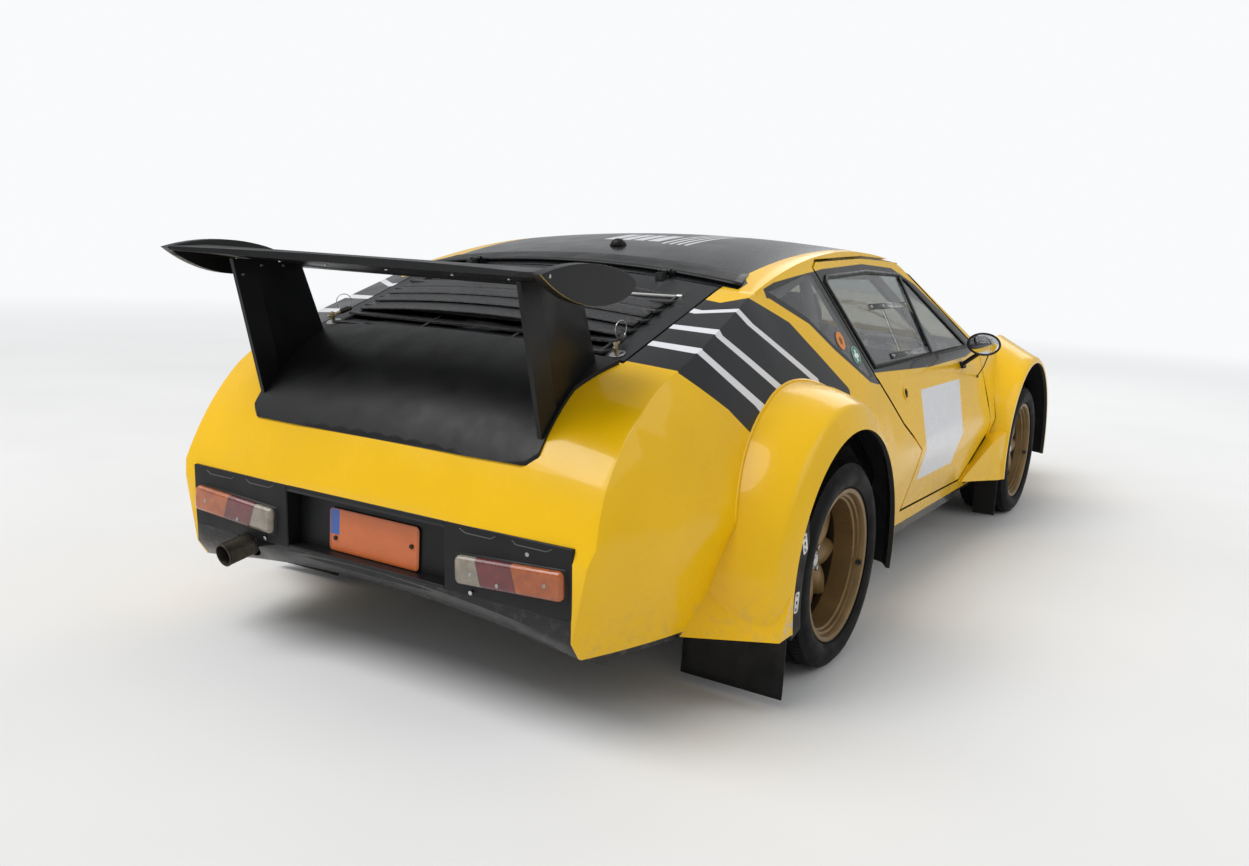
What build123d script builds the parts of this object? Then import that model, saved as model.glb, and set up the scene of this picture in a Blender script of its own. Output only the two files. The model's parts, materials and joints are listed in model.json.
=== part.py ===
"""A two-seat, rear-engined rally coupe with a wedge nose, wide bolt-on arches, a louvred engine
lid and a high tail wing. Millimetres. +Z is up, the nose points along -Y and +X is the car's left.
The origin lies on the ground below the middle of the car's bounding box."""
from functools import lru_cache
from math import asin, atan2, cos, degrees, radians, sin, tan
import os

from build123d import *

os.makedirs("parts", exist_ok=True)

# Driving dimensions
WHEELBASE = 2270.0
NOSE_OVERHANG = 1010.0       # front axle to the tip of the nose
TAIL_OVERHANG = 872.0        # rear axle to the crease at the tail
WING_OVERHANG = 985.0        # rear axle to the trailing edge of the wing
REAR_AXLE = (NOSE_OVERHANG + WHEELBASE + WING_OVERHANG) / 2 - WING_OVERHANG
FRONT_AXLE = REAR_AXLE - WHEELBASE
CREASE_Z = 462.0             # height of the crease all round the body
BELT_Z = 712.0               # height of the lower edge of the side windows
HALF_WIDTH = 815.0           # body at the crease, without the arches
FLOOR_Z = 168.0              # underside of the body
ROOF_Z = 1128.0
LOWER_LEAN = 16.0            # degrees, side between crease and belt
UPPER_LEAN = 26.0            # degrees, side windows
TUCK_LEAN = 12.0             # degrees, side below the crease
NOSE_CROWN = 8200.0          # radius of the crown across the front lid
ROOF_CROWN = 4900.0          # radius of the crown across roof and deck
SCREEN_CROWN = 5000.0        # radius of the windscreen across the car
SKIN = 22.0                  # body moulding
NOSE_WALL = 1.5              # the nose's front wall, in thicknesses of the skin
DOOR_SKIN = 62.0             # whole door
FRAME_SKIN = 24.0            # pillars and window frames
GLASS = 6.0
SEAT_GAP = 0.3               # clearance between pieces that rest on each other
DOOR_GAP = 9.0
LID_GAP = 6.0
TUB_WALL = 16.0
RAIL_TOP = 250.0             # upper side of the rails that carry the engine
RAIL_HEIGHT = 42.0
RAIL_OUT = 320.0             # outer side of the rails
TOWER_TOP = 404.0            # suspension towers on the rails
DRIVE_FLANGE = 150.0

HUB_Z = 278.0                # height of the wheel centres, the tyres' radius
RIM_RADIUS = 198.0
REAR_TYRE_WIDTH = 236.0
FRONT_TYRE_WIDTH = 206.0
REAR_TYRE_OUT = 884.0        # outer side of the rear tyres
FRONT_TYRE_OUT = 850.0
KINGPIN_X = 628.0
FRONT_ARCH = 388.0           # radius of the wheel openings
REAR_ARCH = 366.0
FRONT_FLARE_OUT = 872.0
REAR_FLARE_OUT = 898.0
FLARE_WALL = 14.0
FRONT_FLARE_LOW = 214.0      # lower edge of the wide arches
REAR_FLARE_LOW = 190.0
HINGE_X = 778.0              # upright axis of the doors
HINGE_Y = -1730.0            # from the rear axle


def rear(offset):
    """Y of a place given from the rear axle, rearwards positive."""
    return REAR_AXLE + offset


def front(offset):
    """Y of a place given from the front axle, rearwards positive."""
    return FRONT_AXLE + offset


def from_rear(points):
    """Side-view points whose first value is given from the rear axle."""
    return [(rear(y), z) for y, z in points]


# Helpers
def prism_x(points, x_low, x_high, grow=0.0):
    """A prism across the car from an outline of (y, z) points, grown all round."""
    face = make_face(Polyline([(x_low, y, z) for y, z in points], close=True).edges())
    if grow:
        face = offset(face, amount=grow, kind=Kind.INTERSECTION)
    return extrude(face, amount=x_high - x_low, dir=(1, 0, 0))


def prism_y(points, y_low, y_high):
    """A prism along the car from an outline of (x, z) points."""
    face = make_face(Polyline([(x, y_low, z) for x, z in points], close=True).edges())
    return extrude(face, amount=y_high - y_low, dir=(0, 1, 0))


def prism_z(points, z_low, z_high):
    """An upright prism from an outline of (x, y) points."""
    face = make_face(Polyline([(x, y, z_low) for x, y in points], close=True).edges())
    return extrude(face, amount=z_high - z_low, dir=(0, 0, 1))


def block(x0, x1, y0, y1, z0, z1):
    """A box between two corners, whose x values may come in either order."""
    x0, x1 = min(x0, x1), max(x0, x1)
    return Pos((x0 + x1) / 2, (y0 + y1) / 2, (z0 + z1) / 2) * Box(x1 - x0, y1 - y0, z1 - z0)


def disc_x(x_low, x_high, y, z, radius):
    """A cylinder lying across the car."""
    return Pos((x_low + x_high) / 2, y, z) * Rot(0, 90, 0) * Cylinder(radius, x_high - x_low)


def post(x, y, z_low, z_high, radius):
    """An upright cylinder."""
    return Pos(x, y, (z_low + z_high) / 2) * Cylinder(radius, z_high - z_low)


def rod(start, end, radius):
    """A round bar between two points."""
    a, b = Vector(*start), Vector(*end)
    return extrude(Plane(origin=a, z_dir=b - a) * Circle(radius), amount=(b - a).length)


def tube_run(points, radius):
    """Round bars from point to point with ball corners a little proud of them."""
    run = rod(points[0], points[1], radius)
    for start, end in zip(points[1:], points[2:]):
        run += Pos(*start) * Sphere(radius + 0.8)
        run += rod(start, end, radius)
    return run


def both(shape):
    """A piece and its mirror image across the car."""
    return Compound([*shape.solids(), *mirror(shape, about=Plane.YZ).solids()])


def turned_x(points, y, z):
    """A ring about a wheel axis from an outline of (x, radius) points."""
    face = make_face(Polyline([(x, y, z + r) for x, r in points], close=True).edges())
    return revolve(face, axis=Axis((0, y, z), (1, 0, 0)))


def write(name, shape):
    """Writes one node."""
    solids = shape.solids()
    export_step(solids[0] if len(solids) == 1 else Compound(solids), f"parts/{name}.step")


# The body's outer form: lengthwise outlines on the centre line, as (y, z)
NOSE_FOOT = (front(-856), FLOOR_Z - 100)
NOSE_LIP = (front(-NOSE_OVERHANG), 420.0)
NOSE_TOP = (front(-NOSE_OVERHANG + 14), 474.0)
LAMP_TOP = (front(-720), 578.0)
HOOD_MIDDLE = (front(-182), 684.0)
SCREEN_BASE = (rear(-1915), 775.0)
SCREEN_TOP = (rear(-1190), 1098.0)
ROOF_TOP = (rear(-700), ROOF_Z)
ROOF_END = (rear(97), 1004.0)
DECK_END = (rear(560), 838.0)
TAIL_MIDDLE = (rear(762), 694.0)
TAIL_EDGE = (rear(TAIL_OVERHANG), CREASE_Z + 6)
TAIL_LIP = (rear(TAIL_OVERHANG - 8), 292.0)
TAIL_FOOT = (rear(TAIL_OVERHANG - 40), 250.0)
SCREEN_RAKE = atan2(SCREEN_TOP[1] - SCREEN_BASE[1], SCREEN_TOP[0] - SCREEN_BASE[0])


def chain(*parts):
    """A face from runs of edges; each part is a list of two or more (y, z) points or an arc."""
    return make_face([e for part in parts for e in part.edges()])


def line(*points):
    return Polyline([(0, *p) for p in points])


def arc(start, middle, end):
    return ThreePointArc((0, *start), (0, *middle), (0, *end))


def redrawn(edge):
    """A fresh line or arc in place of an offset one."""
    if edge.geom_type == GeomType.LINE:
        return Line(edge @ 0, edge @ 1)
    return ThreePointArc(edge @ 0, edge @ 0.5, edge @ 1)


def inwards(face, inset):
    if not inset:
        return face
    moved = offset(face, amount=-inset, kind=Kind.INTERSECTION)
    return chain(*[redrawn(edge) for edge in moved.edges()])


def swept(face, radius, top):
    """A lengthwise face swept across the car about an axis below it, which gives the crown."""
    axis = Axis((0, 0, top - radius), (0, 1, 0))
    half = degrees(asin(1000 / radius)) + 1
    return revolve(face.rotate(axis, -half), axis=axis, revolution_arc=2 * half)


def nose_profile(inset):
    inner_end = (rear(-1400), SCREEN_BASE[1] + 72)
    return inwards(chain(
        line(NOSE_FOOT, NOSE_LIP, NOSE_TOP, LAMP_TOP),
        arc(LAMP_TOP, HOOD_MIDDLE, SCREEN_BASE),
        line(SCREEN_BASE, inner_end, (inner_end[0], FLOOR_Z - 100), NOSE_FOOT),
    ), inset)


def cabin_profile(inset):
    foremost = rear(-2150)
    return inwards(chain(
        line((foremost, FLOOR_Z - 100), (foremost, SCREEN_TOP[1] - 90), SCREEN_TOP),
        arc(SCREEN_TOP, ROOF_TOP, ROOF_END),
        line(ROOF_END, DECK_END),
        arc(DECK_END, TAIL_MIDDLE, TAIL_EDGE),
        line(TAIL_EDGE, TAIL_LIP, TAIL_FOOT, (rear(317), FLOOR_Z - 100), (foremost, FLOOR_Z - 100)),
    ), inset)


def on_screen(along, inward):
    """A (y, z) point given along the raked screen from its base, and inwards from its surface."""
    y = SCREEN_BASE[0] + along * cos(SCREEN_RAKE) + inward * sin(SCREEN_RAKE)
    return (y, SCREEN_BASE[1] + along * sin(SCREEN_RAKE) - inward * cos(SCREEN_RAKE))


def screen_form(inset):
    """All that lies behind the windscreen's surface, which is part of a raked cylinder."""
    corners = [on_screen(a, d) for a, d in ((-900, inset), (2900, inset), (2900, 2000), (-900, 2000))]
    axis = Axis((0, *on_screen(0, SCREEN_CROWN)), (0, cos(SCREEN_RAKE), sin(SCREEN_RAKE)))
    face = make_face(line(*corners, corners[0]).edges())
    return revolve(face.rotate(axis, -13), axis=axis, revolution_arc=26)


def plan_outline(extra, ahead):
    """The crease in plan, widened by extra on both sides and moved ahead at the nose."""
    w = HALF_WIDTH + extra
    edges = [
        Line((-(w - 360), rear(1280)), (w - 360, rear(1280))),
        ThreePointArc((w - 180, front(-940) - ahead), (0, front(-1011) - ahead), (-(w - 180), front(-940) - ahead)),
    ]
    for s in (1, -1):
        tail, hip, waist = (s * (w - 165), rear(TAIL_OVERHANG)), (s * (w - 40), rear(348)), (s * w, rear(-600))
        wing, cheek, corner = [(s * (w - x), front(y) - ahead) for x, y in ((0, 370), (62, -780), (180, -940))]
        edges += [
            Line((s * (w - 360), rear(1280)), tail),
            ThreePointArc(tail, (s * (w - 82), rear(620)), hip),
            ThreePointArc(hip, (s * (w - 10), rear(-60)), waist),
            Line(waist, wing),
            ThreePointArc(wing, (s * (w - 16), front(-250) - ahead), cheek),
            Line(cheek, corner),
        ]
    return make_face([e for part in edges for e in part.edges()])


def leaning_sides(inset, lean, height, kink=0.0):
    """The plan outline raised from the crease, or lowered, with its sides leaning inwards."""
    shift = abs(height) * tan(radians(lean))
    extra, ahead = kink - inset / cos(radians(lean)), kink - NOSE_WALL * inset
    low = Pos(0, 0, CREASE_Z) * plan_outline(extra, ahead)
    high = Pos(0, 0, CREASE_Z + height) * plan_outline(extra - shift, ahead - shift)
    return loft([low, high], ruled=True)


@lru_cache(None)
def sides(inset):
    """The space between the body's sides."""
    kink = (BELT_Z - CREASE_Z) * (tan(radians(UPPER_LEAN)) - tan(radians(LOWER_LEAN)))
    above = leaning_sides(inset, LOWER_LEAN, 720) & leaning_sides(inset, UPPER_LEAN, 720, kink)
    below = leaning_sides(inset, TUCK_LEAN, -400)
    return (above + below) & block(-1000, 1000, rear(-4000), rear(2000), FLOOR_Z + inset, 1300)


@lru_cache(None)
def nose_form(inset):
    return swept(nose_profile(inset), NOSE_CROWN, SCREEN_BASE[1]) & sides(inset)


@lru_cache(None)
def cabin_form(inset):
    return swept(cabin_profile(inset), ROOF_CROWN, ROOF_Z) & screen_form(inset) & sides(inset)


NOSE = nose_form(0)
CABIN = cabin_form(0)
NOSE_INSIDE = nose_form(SKIN + SEAT_GAP)
CABIN_INSIDE = cabin_form(SKIN + SEAT_GAP)
FRAME_SHELL = CABIN - cabin_form(FRAME_SKIN)

# Outlines of panels in side view, from the rear axle
DOOR = from_rear([
    (-1790, 700), (-1735, 768), (-1205, 1048), (-1150, 1068), (-812, 1076), (-404, 1060), (-372, 1042),
    (-562, 722), (-646, 649), (-736, 566), (-826, 505), (-870, 467), (-869, 403), (-832, 262),
    (-1560, 250), (-1790, 410),
])
DOOR_WINDOW = from_rear([
    (-1680, 752), (-1427, 888), (-1200, 1010), (-1140, 1030), (-812, 1040), (-440, 1024), (-412, 1004), (-574, 744),
])
QUARTER_WINDOW = from_rear([(-524, 732), (-344, 1024), (-300, 1026), (-20, 978), (-200, 908), (-311, 832), (-494, 728)])
ROOF_REGION = from_rear([(-2120, 690), (-2120, 1300), (62, 1300), (62, 965), (-385, 1052), (-572, 712)])
REAR_REGION = from_rear([
    (-1575, 60), (1300, 60), (1300, 1300), (62, 1300), (62, 965), (-385, 1052), (-572, 712), (-1575, 712),
])
FRONT_REGION = from_rear([(-3400, 60), (-1575, 60), (-1575, 300), (-1650, 455), (-1650, 900), (-3400, 900)])
ENGINE_LID = from_rear([(72, 1100), (72, 880), (530, 780), (547, 860), (547, 1000)])
ENGINE_LID_HOLE = from_rear([(62, 1100), (62, 870), (540, 760), (558, 860), (558, 1000)])
ENGINE_LID_HALF = 500.0
COVER_PLAN = [(500, 558), (456, 670), (456, 800), (410, 826)]
COVER_PLAN = [(x, rear(y)) for x, y in COVER_PLAN]
COVER_PLAN += [(-x, y) for x, y in reversed(COVER_PLAN)]
FRONT_LID = from_rear([(-2080, 900), (-2080, 560), (-2856, 460), (-2862, 560), (-2862, 900)])
FRONT_LID_HALF = 470.0
COVER_RISE = 10.0            # the tail cover stands above the skin round it
LAMP_WINDOW = (560.0, front(-975), front(-745))
ARCH_CUTS = [(front(0), FRONT_ARCH, 500), (rear(0), REAR_ARCH, 600)]


DOOR_TOP_X = 540.0           # the doors' frames end at the edge of the roof


def door_hole():
    edge = DOOR_TOP_X - DOOR_GAP
    return prism_x(DOOR, -1000, -edge, DOOR_GAP) + prism_x(DOOR, edge, 1000, DOOR_GAP)


def arch_cut(y, radius, from_x):
    return disc_x(from_x, 1000, y, HUB_Z, radius) + disc_x(-1000, -from_x, y, HUB_Z, radius)


def screen_opening():
    """A prism square to the windscreen, with its sides closer at the top."""
    frame = Plane(origin=(0, *on_screen(0, -60)), x_dir=(1, 0, 0), z_dir=(0, sin(SCREEN_RAKE), -cos(SCREEN_RAKE)))
    outline = [(-676, -22), (676, -22), (536, -748), (-536, -748)]
    return extrude(frame * make_face(Polyline(outline, close=True).edges()), amount=260)


NOSE_SHELL = NOSE - nose_form(SKIN)
CABIN_SHELL = CABIN - cabin_form(SKIN)
CABIN_GLASS = CABIN - cabin_form(GLASS)


# Lid hinges: y and z of the axis, the way to the lid, the drop to the skin's middle and the x of each hinge
ENGINE_LID_HINGE = (rear(70), 1018.0, 1, 26.0, (-330, 330))
FRONT_LID_HINGE = (rear(-2076), 756.0, -1, 22.0, (-300, 300))
LID_PIN = 4.0
LID_BARREL = 8.0
LID_LEAF = 34.0


def lid_barrels(lid, hinge):
    """Adds a barrel on a leaf to the lid at each hinge."""
    y, z, way, drop, places = hinge
    for x in places:
        lid += block(x - 10, x + 10, *sorted((y + way * 3, y + way * LID_LEAF)), z - drop, z - 4)
        lid += disc_x(x - 10, x + 10, y, z, LID_BARREL)
        lid -= disc_x(x - 11, x + 11, y, z, LID_PIN + SEAT_GAP)
    return lid


def lid_forks(hinge):
    """Two ears with a pin between them for each hinge, on the skin ahead of or behind the lid."""
    y, z, way, drop, places = hinge
    forks = None
    for x in places:
        fork = disc_x(x - 18, x + 18, y, z, LID_PIN)
        for ear in (x - 18, x + 12):
            fork += disc_x(ear, ear + 6, y, z, LID_BARREL)
            fork += block(ear, ear + 6, *sorted((y, y - way * LID_LEAF)), z - drop, z + 2)
        forks = fork if forks is None else forks + fork
    return forks


def front_body():
    shell = NOSE_SHELL & prism_x(FRONT_REGION, -1000, 1000)
    shell -= door_hole()
    for side in (-1, 1):
        shell -= post(side * HINGE_X, rear(HINGE_Y), BELT_Z - 500, BELT_Z + 8, 76)
    shell -= arch_cut(*ARCH_CUTS[0])
    half, y0, y1 = LAMP_WINDOW
    shell -= block(-half, half, y0, y1, 440, 700)
    shell -= prism_x(FRONT_LID, -FRONT_LID_HALF - LID_GAP, FRONT_LID_HALF + LID_GAP, LID_GAP)
    shell -= block(-900, 900, front(-420), rear(-1500), 0, FLOOR_Z + SKIN + 1)
    return shell + lid_forks(FRONT_LID_HINGE)


def roof():
    shell = FRAME_SHELL & prism_x(ROOF_REGION, -1000, 1000)
    shell -= NOSE
    shell -= door_hole()
    shell -= screen_opening() + block(-440, 440, rear(-1940), rear(-1870), 700, 800)
    return shell + lid_forks(ENGINE_LID_HINGE)


def rear_body():
    shell = CABIN_SHELL & prism_x(REAR_REGION, -1000, 1000)
    shell -= door_hole()
    shell -= prism_x(QUARTER_WINDOW, -1000, 1000)
    shell -= arch_cut(*ARCH_CUTS[1])
    shell -= prism_x(ENGINE_LID_HOLE, -ENGINE_LID_HALF - LID_GAP, ENGINE_LID_HALF + LID_GAP)
    shell -= prism_z(COVER_PLAN, 600, 1000)
    shell -= block(-600, 600, rear(800), rear(1000), 296, 440)
    shell -= rod(*TAIL_PIPE, PIPE_RADIUS + 8)
    return shell - block(-745, 745, rear(-1600), rear(760), 0, FLOOR_Z + SKIN + 1)


def tail_cover():
    return (Pos(0, 0, COVER_RISE) * CABIN - CABIN_INSIDE) & prism_z(COVER_PLAN, 600, 1000)


def engine_lid():
    """A frame, a plain middle band and rows of slats that lean back over each other."""
    skin = CABIN_SHELL & prism_x(ENGINE_LID, -ENGINE_LID_HALF, ENGINE_LID_HALF)
    edge, front_edge, rear_edge = 62.0, rear(168), rear(536)
    skin -= block(-ENGINE_LID_HALF + edge, ENGINE_LID_HALF - edge, front_edge, rear_edge, 700, 1100)
    rows, slat, thick = 6, 78.0, 6.0
    slope = atan2(ROOF_END[1] - DECK_END[1], DECK_END[0] - ROOF_END[0])
    for row in range(rows):
        y = front_edge + (row + 0.5) * (rear_edge - front_edge) / rows
        z = ROOF_END[1] - (y - ROOF_END[0]) * tan(slope) - 22
        lean = Pos(0, y, z) * Rot(-4, 0, 0)
        skin += lean * Box(2 * (ENGINE_LID_HALF - edge + 4), slat, thick)
    for x in (-ENGINE_LID_HALF + edge + 10, -150, 150, ENGINE_LID_HALF - edge - 10):
        rib = prism_x([
            (front_edge - 4, 962), (front_edge - 4, 930), (rear_edge + 4, 800), (rear_edge + 4, 832),
        ], x - 4, x + 4)
        skin += rib
    return lid_barrels(skin, ENGINE_LID_HINGE)


def front_lid():
    return lid_barrels(NOSE_SHELL & prism_x(FRONT_LID, -FRONT_LID_HALF, FRONT_LID_HALF), FRONT_LID_HINGE)


def flare(body, y, arch, out, seat_radius, low):
    """A thin ring over the wheel opening with a turned-in lip, cut where it meets the body."""
    outline = [
        (700, seat_radius), (out - 40, arch + 36), (out - 10, arch + 24), (out, arch + 12), (out, arch),
        (out - 14, arch), (out - 14, arch + 8), (out - 44, arch + 22), (700, seat_radius - FLARE_WALL),
    ]
    ring = turned_x(outline, y, HUB_Z)
    return (ring - body) - block(0, 1000, y - 700, y + 700, -400, low)


def skirt(body, y, arch, plan, side_view):
    piece = prism_z(plan, 150, 560) & prism_x(side_view, 400, 1000)
    return piece - disc_x(400, 1000, y, HUB_Z, arch + 2) - body


def flares_front():
    ring = flare(NOSE, front(0), FRONT_ARCH, FRONT_FLARE_OUT, 494, FRONT_FLARE_LOW)
    plan = [(600, front(340)), (858, front(340)), (864, front(410)), (830, rear(-1760)), (776, rear(-1572)), (600, rear(-1572))]
    low = FRONT_FLARE_LOW
    side_view = from_rear([(-1960, low), (-1840, low), (-1576, 236), (-1596, 254), (-1810, 392), (-1960, 440)])
    piece = ring + skirt(NOSE, front(0), FRONT_ARCH, plan, side_view)
    return both(piece - CABIN)


def flares_rear():
    ring = flare(CABIN, rear(0), REAR_ARCH, REAR_FLARE_OUT, 496, REAR_FLARE_LOW)
    plan = [(560, rear(340)), (886, rear(330)), (890, rear(396)), (800, rear(500)), (620, rear(650)), (560, rear(650))]
    low = REAR_FLARE_LOW
    side_view = from_rear([(300, low), (394, low), (650, 198), (640, 262), (540, 340), (440, 470), (300, 470)])
    return both(ring + skirt(CABIN, rear(0), REAR_ARCH, plan, side_view))


def liner(y, arch, wall_x, inside, hole):
    """The wheel house: a half drum inside the skin with an inner wall open for the suspension."""
    drum = disc_x(wall_x, 900, y, HUB_Z, arch + 6) - disc_x(wall_x + 6, 901, y, HUB_Z, arch)
    drum -= block(0, 1000, y - 600, y + 600, -400, 214)
    drum -= block(0, wall_x + 60, y - hole, y + hole, 0, 490)
    return both(drum & inside)


def floor_pan():
    """Floor, tunnel, bulkheads, footwell sides and the rails that carry engine and suspension."""
    top = FLOOR_Z + SKIN
    pan = block(-700, 700, rear(-1620), rear(-440), FLOOR_Z, top)
    pan += block(-650, 650, rear(-1866), rear(-1620), FLOOR_Z, top)
    pan += block(-400, 400, front(-400), rear(-1866), FLOOR_Z, top)
    pan += block(-610, 610, rear(-440), rear(-330), FLOOR_Z, top)
    pan += prism_x(from_rear([(-1900, top), (-1900, 420), (-330, 330), (-330, top)]), -110, 110)
    pan += prism_x(from_rear([(-1866, top), (-1866, 690), (-1850, 690), (-1850, top)]), -650, 650) & NOSE_INSIDE
    pan += block(-600, 600, rear(-346), rear(-330), top, 780) & CABIN_INSIDE
    pan += prism_x(from_rear([(-346, 764), (-346, 780), (60, 800), (60, 784)]), -600, 600) & CABIN_INSIDE
    for side in (-1, 1):
        pan += block(side * 636, side * 650, rear(-1866), rear(-1640), FLOOR_Z, 690)
        pan += block(side * 250, side * RAIL_OUT, rear(-346), rear(620), RAIL_TOP - RAIL_HEIGHT, RAIL_TOP)
        tower = block(side * (RAIL_OUT - 26), side * RAIL_OUT, rear(-106), rear(106), RAIL_TOP - 10, TOWER_TOP)
        pan += tower - disc_x(-RAIL_OUT - 1, RAIL_OUT + 1, rear(0), HUB_Z, 32)
        for z in HINGE_LEVELS:
            pan += hinge_eye(side, z)
    pan += block(-RAIL_OUT, RAIL_OUT, rear(600), rear(640), RAIL_TOP - RAIL_HEIGHT, RAIL_TOP)
    return pan


HINGE_LEVELS = (410.0, 500.0)
HINGE_EYE = 12.0
HINGE_PIN = 6.0


def hinge_eye(side, z):
    eye = post(side * HINGE_X, rear(HINGE_Y), z - 12, z + 12, HINGE_EYE)
    eye += block(side * 648, side * HINGE_X, rear(HINGE_Y) - 7, rear(HINGE_Y) + 7, z - 12, z + 12)
    return eye - post(side * HINGE_X, rear(HINGE_Y), z - 13, z + 13, HINGE_PIN + SEAT_GAP)


def door(side):
    outline = prism_x(DOOR, DOOR_TOP_X, 1000)
    lower = (CABIN - cabin_form(DOOR_SKIN)) & outline & block(0, 1000, rear(-2000), rear(0), 0, BELT_Z + 26)
    upper = FRAME_SHELL & outline & block(0, 1000, rear(-2000), rear(0), BELT_Z + 26, 1300)
    panel = lower + upper - prism_x(DOOR_WINDOW, 0, 1000)
    for z in HINGE_LEVELS:
        panel -= block(600, HINGE_X + 14, rear(-1800), rear(HINGE_Y) + 22, z - 24, z + 24)
        panel += post(HINGE_X, rear(HINGE_Y), z - 30, z + 30, HINGE_PIN)
    return panel if side > 0 else mirror(panel, about=Plane.YZ)


def pane(outline, side):
    sheet = CABIN_GLASS & prism_x(outline, 0, 1000)
    return sheet if side > 0 else mirror(sheet, about=Plane.YZ)


def door_mirror(side):
    """An oval housing on a stalk from a foot just below the belt."""
    x, y, z = 836, rear(-1480), 786
    face = Plane(origin=(x, y + 26, z), x_dir=(1, 0, 0), z_dir=(0, -1, 0)) * Ellipse(62, 42)
    back = Plane(origin=(x, y - 32, z), x_dir=(1, 0, 0), z_dir=(0, -1, 0)) * Ellipse(44, 26)
    foot_y, low, high = rear(-1510), BELT_Z - 26, BELT_Z - 2
    inner = [(side_x(low) + SEAT_GAP, low), (side_x(high) + SEAT_GAP, high)]
    foot = prism_y(inner + [(px + 12, pz) for px, pz in reversed(inner)], foot_y - 20, foot_y + 20)
    piece = loft([face, back]) + rod((x, y, z - 20), (side_x(high) + 8, foot_y, high - 10), 8) + foot
    return piece if side > 0 else mirror(piece, about=Plane.YZ)


def side_x(z):
    """Half width of the straight part of the body's side between crease and belt."""
    return HALF_WIDTH - (z - CREASE_Z) * tan(radians(LOWER_LEAN))


def windscreen():
    return (CABIN_GLASS & screen_opening()) - NOSE


def lamp_cover():
    half, y0, y1 = LAMP_WINDOW
    return (NOSE - nose_form(GLASS)) & block(-half, half, y0, y1, 440, 700)


def headlamps():
    """Three rectangular lamps each side on a tray behind the clear cover."""
    half, y0, y1 = LAMP_WINDOW
    tray = block(-half + 4, half - 4, y0 - 10, y1 + 30, 424, 432) & NOSE_INSIDE
    for x in (-460, -290, -120, 120, 290, 460):
        lamp = block(x - 72, x + 72, front(-900), front(-800), 431, 512)
        face = block(x - 64, x + 64, front(-901), front(-894), 440, 504)
        tray += (lamp - face) & nose_form(16)
    return tray


def front_spoiler():
    low = 100.0
    lip = prism_x([(front(-950), FLOOR_Z), (front(-985), low), (front(-975), low), (front(-890), FLOOR_Z)], -600, 600)
    return lip


def tail_panel():
    tray = block(-600, 600, rear(806), rear(900), 296, 440) - block(-592, 592, rear(814), rear(901), 304, 432)
    tray = (tray & cabin_form(2)) - rod(*TAIL_PIPE, PIPE_RADIUS + 8)
    for x in (-110, 110):
        tray += rod((x, rear(812), 366), (x, rear(829), 366), 8)
    return tray


def tail_lamps():
    lamp = block(318, 586, rear(814) + SEAT_GAP, rear(870), 318, 412) & cabin_form(6)
    return both(lamp)


def number_plate():
    return block(-150, 150, rear(829) + SEAT_GAP, rear(832), 310, 422)


PIPE_RADIUS = 30.0
TAIL_PIPE = ((400.0, rear(708), 304.0), (417.0, rear(934), 256.0))


def exhaust():
    """Silencer across the tail with one outlet on the left."""
    start, end = TAIL_PIPE
    y, z = start[1:]
    pipe = disc_x(-260, 300, y, z, 58) + disc_x(290, start[0], y, z, PIPE_RADIUS)
    pipe += Pos(*start) * Sphere(PIPE_RADIUS + 0.6)
    pipe += rod(start, end, PIPE_RADIUS)
    pipe += rod((-120, rear(520) + SEAT_GAP, z), (-120, y, z), 24)
    bore = Vector(*start) + (Vector(*end) - Vector(*start)) * 0.7
    return pipe - rod(tuple(bore), tuple(bore + (Vector(*end) - Vector(*start)) * 0.4), PIPE_RADIUS - 4)


def engine():
    """Engine behind the rear axle with the gearbox ahead of it."""
    unit = block(-190, 190, rear(60), rear(520), 206, 640)
    unit += block(-112, 112, rear(-300), rear(70), 216, 430)
    unit += block(-322, 322, rear(220), rear(290), RAIL_TOP + SEAT_GAP, RAIL_TOP + 36)
    unit += disc_x(-DRIVE_FLANGE, DRIVE_FLANGE, rear(0), HUB_Z, 56)
    return unit


def tyre(side, y, width, out):
    bead, half, radius = width / 2 - 20, width / 2, HUB_Z
    outline = [
        (-bead, RIM_RADIUS + SEAT_GAP), (bead, RIM_RADIUS + SEAT_GAP), (bead, RIM_RADIUS + 10), (half, radius - 42),
        (half - 6, radius - 14), (half - 24, radius - 2), (0, radius), (-half + 24, radius - 2),
        (-half + 6, radius - 14), (-half, radius - 42), (-bead, RIM_RADIUS + 10),
    ]
    middle = side * (out - half)
    return turned_x([(middle + x, r) for x, r in outline], y, HUB_Z)


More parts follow.
